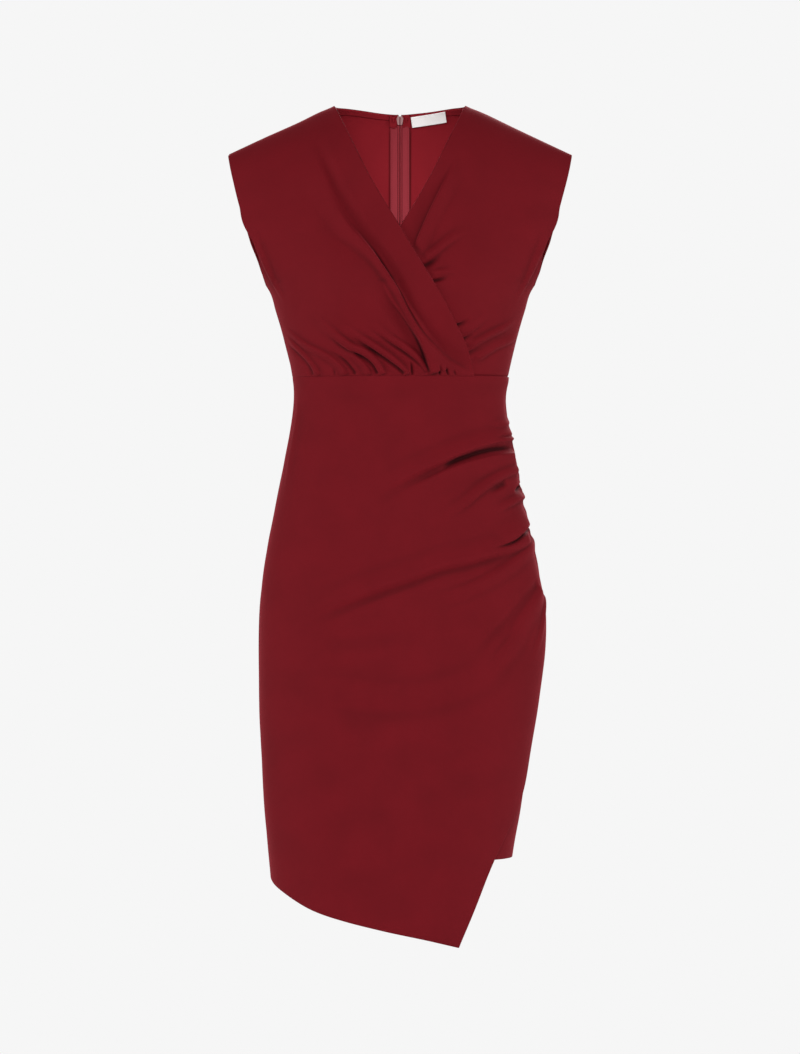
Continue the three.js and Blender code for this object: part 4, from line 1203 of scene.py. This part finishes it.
def beadsAlong(name, paths, material, spacing, halfSize, followPath=False, jitter=0.04, seed=1):
    # paths: lists of points in millimetres
    corners, edges = [], []
    for line in paths:
        edges += [(len(corners) + k, len(corners) + k + 1) for k in range(len(line) - 1)]
        corners += [tuple(point * mm for point in spot) for spot in line]
    mesh = bpy.data.meshes.new(name + "Path")
    mesh.from_pydata(corners, edges, [])
    guide = addObject(name + "Path", mesh)
    modifier = guide.modifiers.new("beads", "NODES")
    modifier.node_group = beads
    sizes = {"Spacing": spacing * mm, "Half Size": [size * mm for size in halfSize],
             "Follow Path": followPath, "Jitter": jitter, "Seed": seed, "Material": material}
    for socket, value in sizes.items():
        modifier[beadSockets[socket]] = value
    evaluated = guide.evaluated_get(bpy.context.evaluated_depsgraph_get())
    plain = bpy.data.meshes.new_from_object(evaluated)
    plain.name = name
    bpy.data.objects.remove(guide)
    plain.polygons.foreach_set("use_smooth", np.ones(len(plain.polygons), bool))
    thing = addObject(name, plain)
    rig.ride(thing, "dress")
    return thing


def insidePath(xs, downs, depth):
    # a line on the inside of the back, as points
    downs = np.asarray(downs, float)
    angle = angleAt(np.asarray(xs, float), downs, True)
    return surface(angle, downs) + outward(angle, downs) * depth


# Distances from the middle of the back, then heights over the form.
coilSize = {"teeth": (1.3, -0.95), "cord": (0, -0.45), "stitches": (2.75, -0.95), "top": 13, "end": 4}
tapeSewing = {"stitches": (10.2, -0.85), "top": 10, "end": 2}
labelSewing = {"inset": 1.4, "ends": 1.2, "height": -2.6}


def zipLines(size, row, sides=(-1, 1)):
    # the same line on each side of the zip
    downs = np.linspace(neckTop + size["top"], zipper["end"] - size["end"], 200)
    away, height = size[row]
    return [insidePath(turn * away + 0 * downs, downs, height) for turn in sides]


def labelStitch(across):
    ends = labelSewing["ends"]
    spots = [onLabel(across, below) for below in np.linspace(ends, label["height"] - ends, 6)]
    return [insidePath([x], [float(down)], labelSewing["height"])[0] for x, down in spots]


coil = beadsAlong("zipCoil", zipLines(coilSize, "teeth"), coilNylon, 1.1, (1.0, 0.65, 0.55),
                  jitter=0.06, seed=31)
coilCord = beadsAlong("zipCoilCord", zipLines(coilSize, "cord", (0,)), deepThread, 1.2,
                      (0.6, 0.3, 0.9), jitter=0.02, seed=32)
coilStitches = beadsAlong("coilStitches", zipLines(coilSize, "stitches"), deepThread, 1.9,
                          (0.32, 0.2, 0.85), True, 0.05, 33)
tapeStitches = beadsAlong("tapeStitches", zipLines(tapeSewing, "stitches"), thread, 2.6,
                          (0.18, 0.18, 0.9), True, 0.05, 34)
labelEnds = [labelStitch(across) for across in (labelSewing["inset"], label["width"] - labelSewing["inset"])]
labelStitches = beadsAlong("labelStitches", labelEnds, paleThread, 1.7, (0.16, 0.16, 0.6), True, 0.08, 35)

standsFor = {right: "bodice_front_right", left: "bodice_front_left", over: "skirt_front_over",
             under: "skirt_front_under", blankLabel: "neck_label"}
for side, _ in bothSides:
    for pieces, start in ((backs, "bodice_back_"), (skirtBacks, "skirt_back_"),
                          (facings, "back_neck_facing_"), (tapes, "zip_tape_")):
        standsFor[pieces[side]] = start + side.lower()
slots = {"zip_tape_left": "zip_tape", "zip_tape_right": "zip_tape", "neck_label": "label"}
for piece, node in standsFor.items():
    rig.ride(piece, "dress")
    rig.replaces(piece, node)
    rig.slot(piece, slots.get(node, "crepe"))
for piece in tucks.values():
    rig.ride(piece, "dress")
for node in ("zip_slider", "zip_pull_tab"):
    finishes = frame["nodes"][node].data.materials
    finishes.clear()
    finishes.append(lacquer)


def clothArea(piece):
    # one side of the sheet, from the faces of its outer material, in square metres
    mesh = piece.data
    areas, kinds = np.empty(len(mesh.polygons)), np.empty(len(mesh.polygons), int)
    mesh.polygons.foreach_get("area", areas)
    mesh.polygons.foreach_get("material_index", kinds)
    return float(areas[kinds == 0].sum())


# Cut pieces: width and length of the flat cloth in metres, its area where that is no rectangle,
# how it is held, and what it hangs from.
sheets = [
    (right, (0.37, 0.41), 0.096, "gathered", []),
    (left, (0.36, 0.41), 0.092, "gathered", []),
    (backs["Left"], (0.23, 0.40), 0.077, "hung", [left]),
    (backs["Right"], (0.23, 0.40), 0.077, "hung", [right]),
    (over, (0.50, 0.80), 0.315, "gathered", [right, left]),
    (under, (0.30, 0.62), 0.178, "hung", [right, left]),
    (skirtBacks["Left"], (0.25, 0.66), 0.139, "hung", [backs["Left"]]),
    (skirtBacks["Right"], (0.25, 0.66), 0.144, "hung", [backs["Right"]]),
    (facings["Left"], (0.078, 0.010), None, "folded", [backs["Left"]]),
    (facings["Right"], (0.078, 0.010), None, "folded", [backs["Right"]]),
    (tucks["Left"], (0.0125, 0.014), None, "folded", [tapes["Left"]]),
    (tucks["Right"], (0.0125, 0.014), None, "folded", [tapes["Right"]]),
    (tapes["Left"], (0.012, 0.53), None, "hung", [backs["Left"]]),
    (tapes["Right"], (0.012, 0.53), None, "hung", [backs["Right"]]),
    (blankLabel, (0.044, 0.0155), None, "hung", [facings["Left"]]),
]
goesWith = {tapes["Left"]: [coil, coilCord, coilStitches], tapes["Right"]: [tapeStitches],
            blankLabel: [labelStitches]}
for piece, flat, area, held, hangsFrom in sheets:
    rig.sheet(piece, flat=flat, area=area, held=held, rests_on=hangsFrom, with_pieces=goesWith.get(piece, []))
    triangles = len(piece.data.polygons) * 2
    print(piece.name, triangles, "triangles, area", round(clothArea(piece), 4), "of", area)

print("floor, light and camera")
studio = {
    "floorDown": 1.38,     # metres below the shoulders
    "floorRadius": 1.6,
    "pale": (0.9, 0.9, 0.9, 1),
    "backdrop": (0.9217, 0.9217, 0.9217, 1),
    "ambient": 0.28,
    "cameraBack": 6.0,
    "cameraHeight": -0.52625,
    "frameHeight": 1.3175,  # metres of the scene, at the dress, that the picture's height takes in
}
softboxes = {  # place, watts, width and height
    "leftSoftbox": ((-2.3, -0.9, -0.35), 44, 1.0, 2.2),
    "rightSoftbox": ((2.3, -0.9, -0.35), 44, 1.0, 2.2),
    "frontSoftbox": ((-0.1, -3.6, 0.7), 106, 1.6, 1.2),
    "backSoftbox": ((0.6, 3.2, 0.9), 75, 1.8, 1.8),
}


def floorDisc():
    radius, count = studio["floorRadius"], 96
    turns = np.linspace(0, 2 * math.pi, count, endpoint=False)
    ring = [(radius * math.cos(t), radius * math.sin(t), -studio["floorDown"]) for t in turns]
    mesh = bpy.data.meshes.new("studioFloor")
    mesh.from_pydata(ring, [], [list(range(count))])
    material, tree, shader = newMaterial("pale floor", {"Roughness": 0.9, "Specular IOR Level": 0.1})
    speckle(tree, shader, studio["pale"], 0.98, 1, 30, onObject=False)
    mesh.materials.append(material)
    return addObject("studioFloor", mesh)


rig.stage(floorDisc())
for name, (place, watts, width, height) in softboxes.items():
    data = bpy.data.lights.new(name, "AREA")
    data.shape, data.size, data.size_y, data.energy = "RECTANGLE", width, height, watts
    lamp = addObject(name, data)
    lamp.location = place
    lamp.rotation_euler = (Vector((0, 0, -0.5)) - Vector(place)).to_track_quat("-Z", "Y").to_euler()

world = bpy.data.worlds.new("paleStudio")
bpy.context.scene.world = world
world.use_nodes = True
air = world.node_tree
seen = air.nodes["Background"]
setInputs(air, seen, {"Color": studio["backdrop"]})
glow = addNode(air, "ShaderNodeBackground", {"Color": (1, 1, 1, 1), "Strength": studio["ambient"]})
path = addNode(air, "ShaderNodeLightPath")
choose = addNode(air, "ShaderNodeMixShader", {
    "Fac": path.outputs["Is Camera Ray"], 1: glow.outputs[0], 2: seen.outputs[0]})
setInputs(air, air.nodes["World Output"], {"Surface": choose.outputs[0]})
bpy.context.scene.view_settings.view_transform = "Standard"

cameraData = bpy.data.cameras.new("photoCamera")
cameraData.sensor_width = 36
cameraData.lens = cameraData.sensor_width * studio["cameraBack"] / studio["frameHeight"]
cameraData.clip_end = 50
camera = addObject("photoCamera", cameraData)
camera.location = (0.0001, -studio["cameraBack"], studio["cameraHeight"])
camera.rotation_euler = (math.radians(90), 0, 0)
bpy.context.scene.camera = camera

sizes = {"cad": [list(corner) for corner in cadBox], "visual": [list(corner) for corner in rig.bounds()]}
with open("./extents.json", "w") as sizeFile:
    json.dump(sizes, sizeFile)
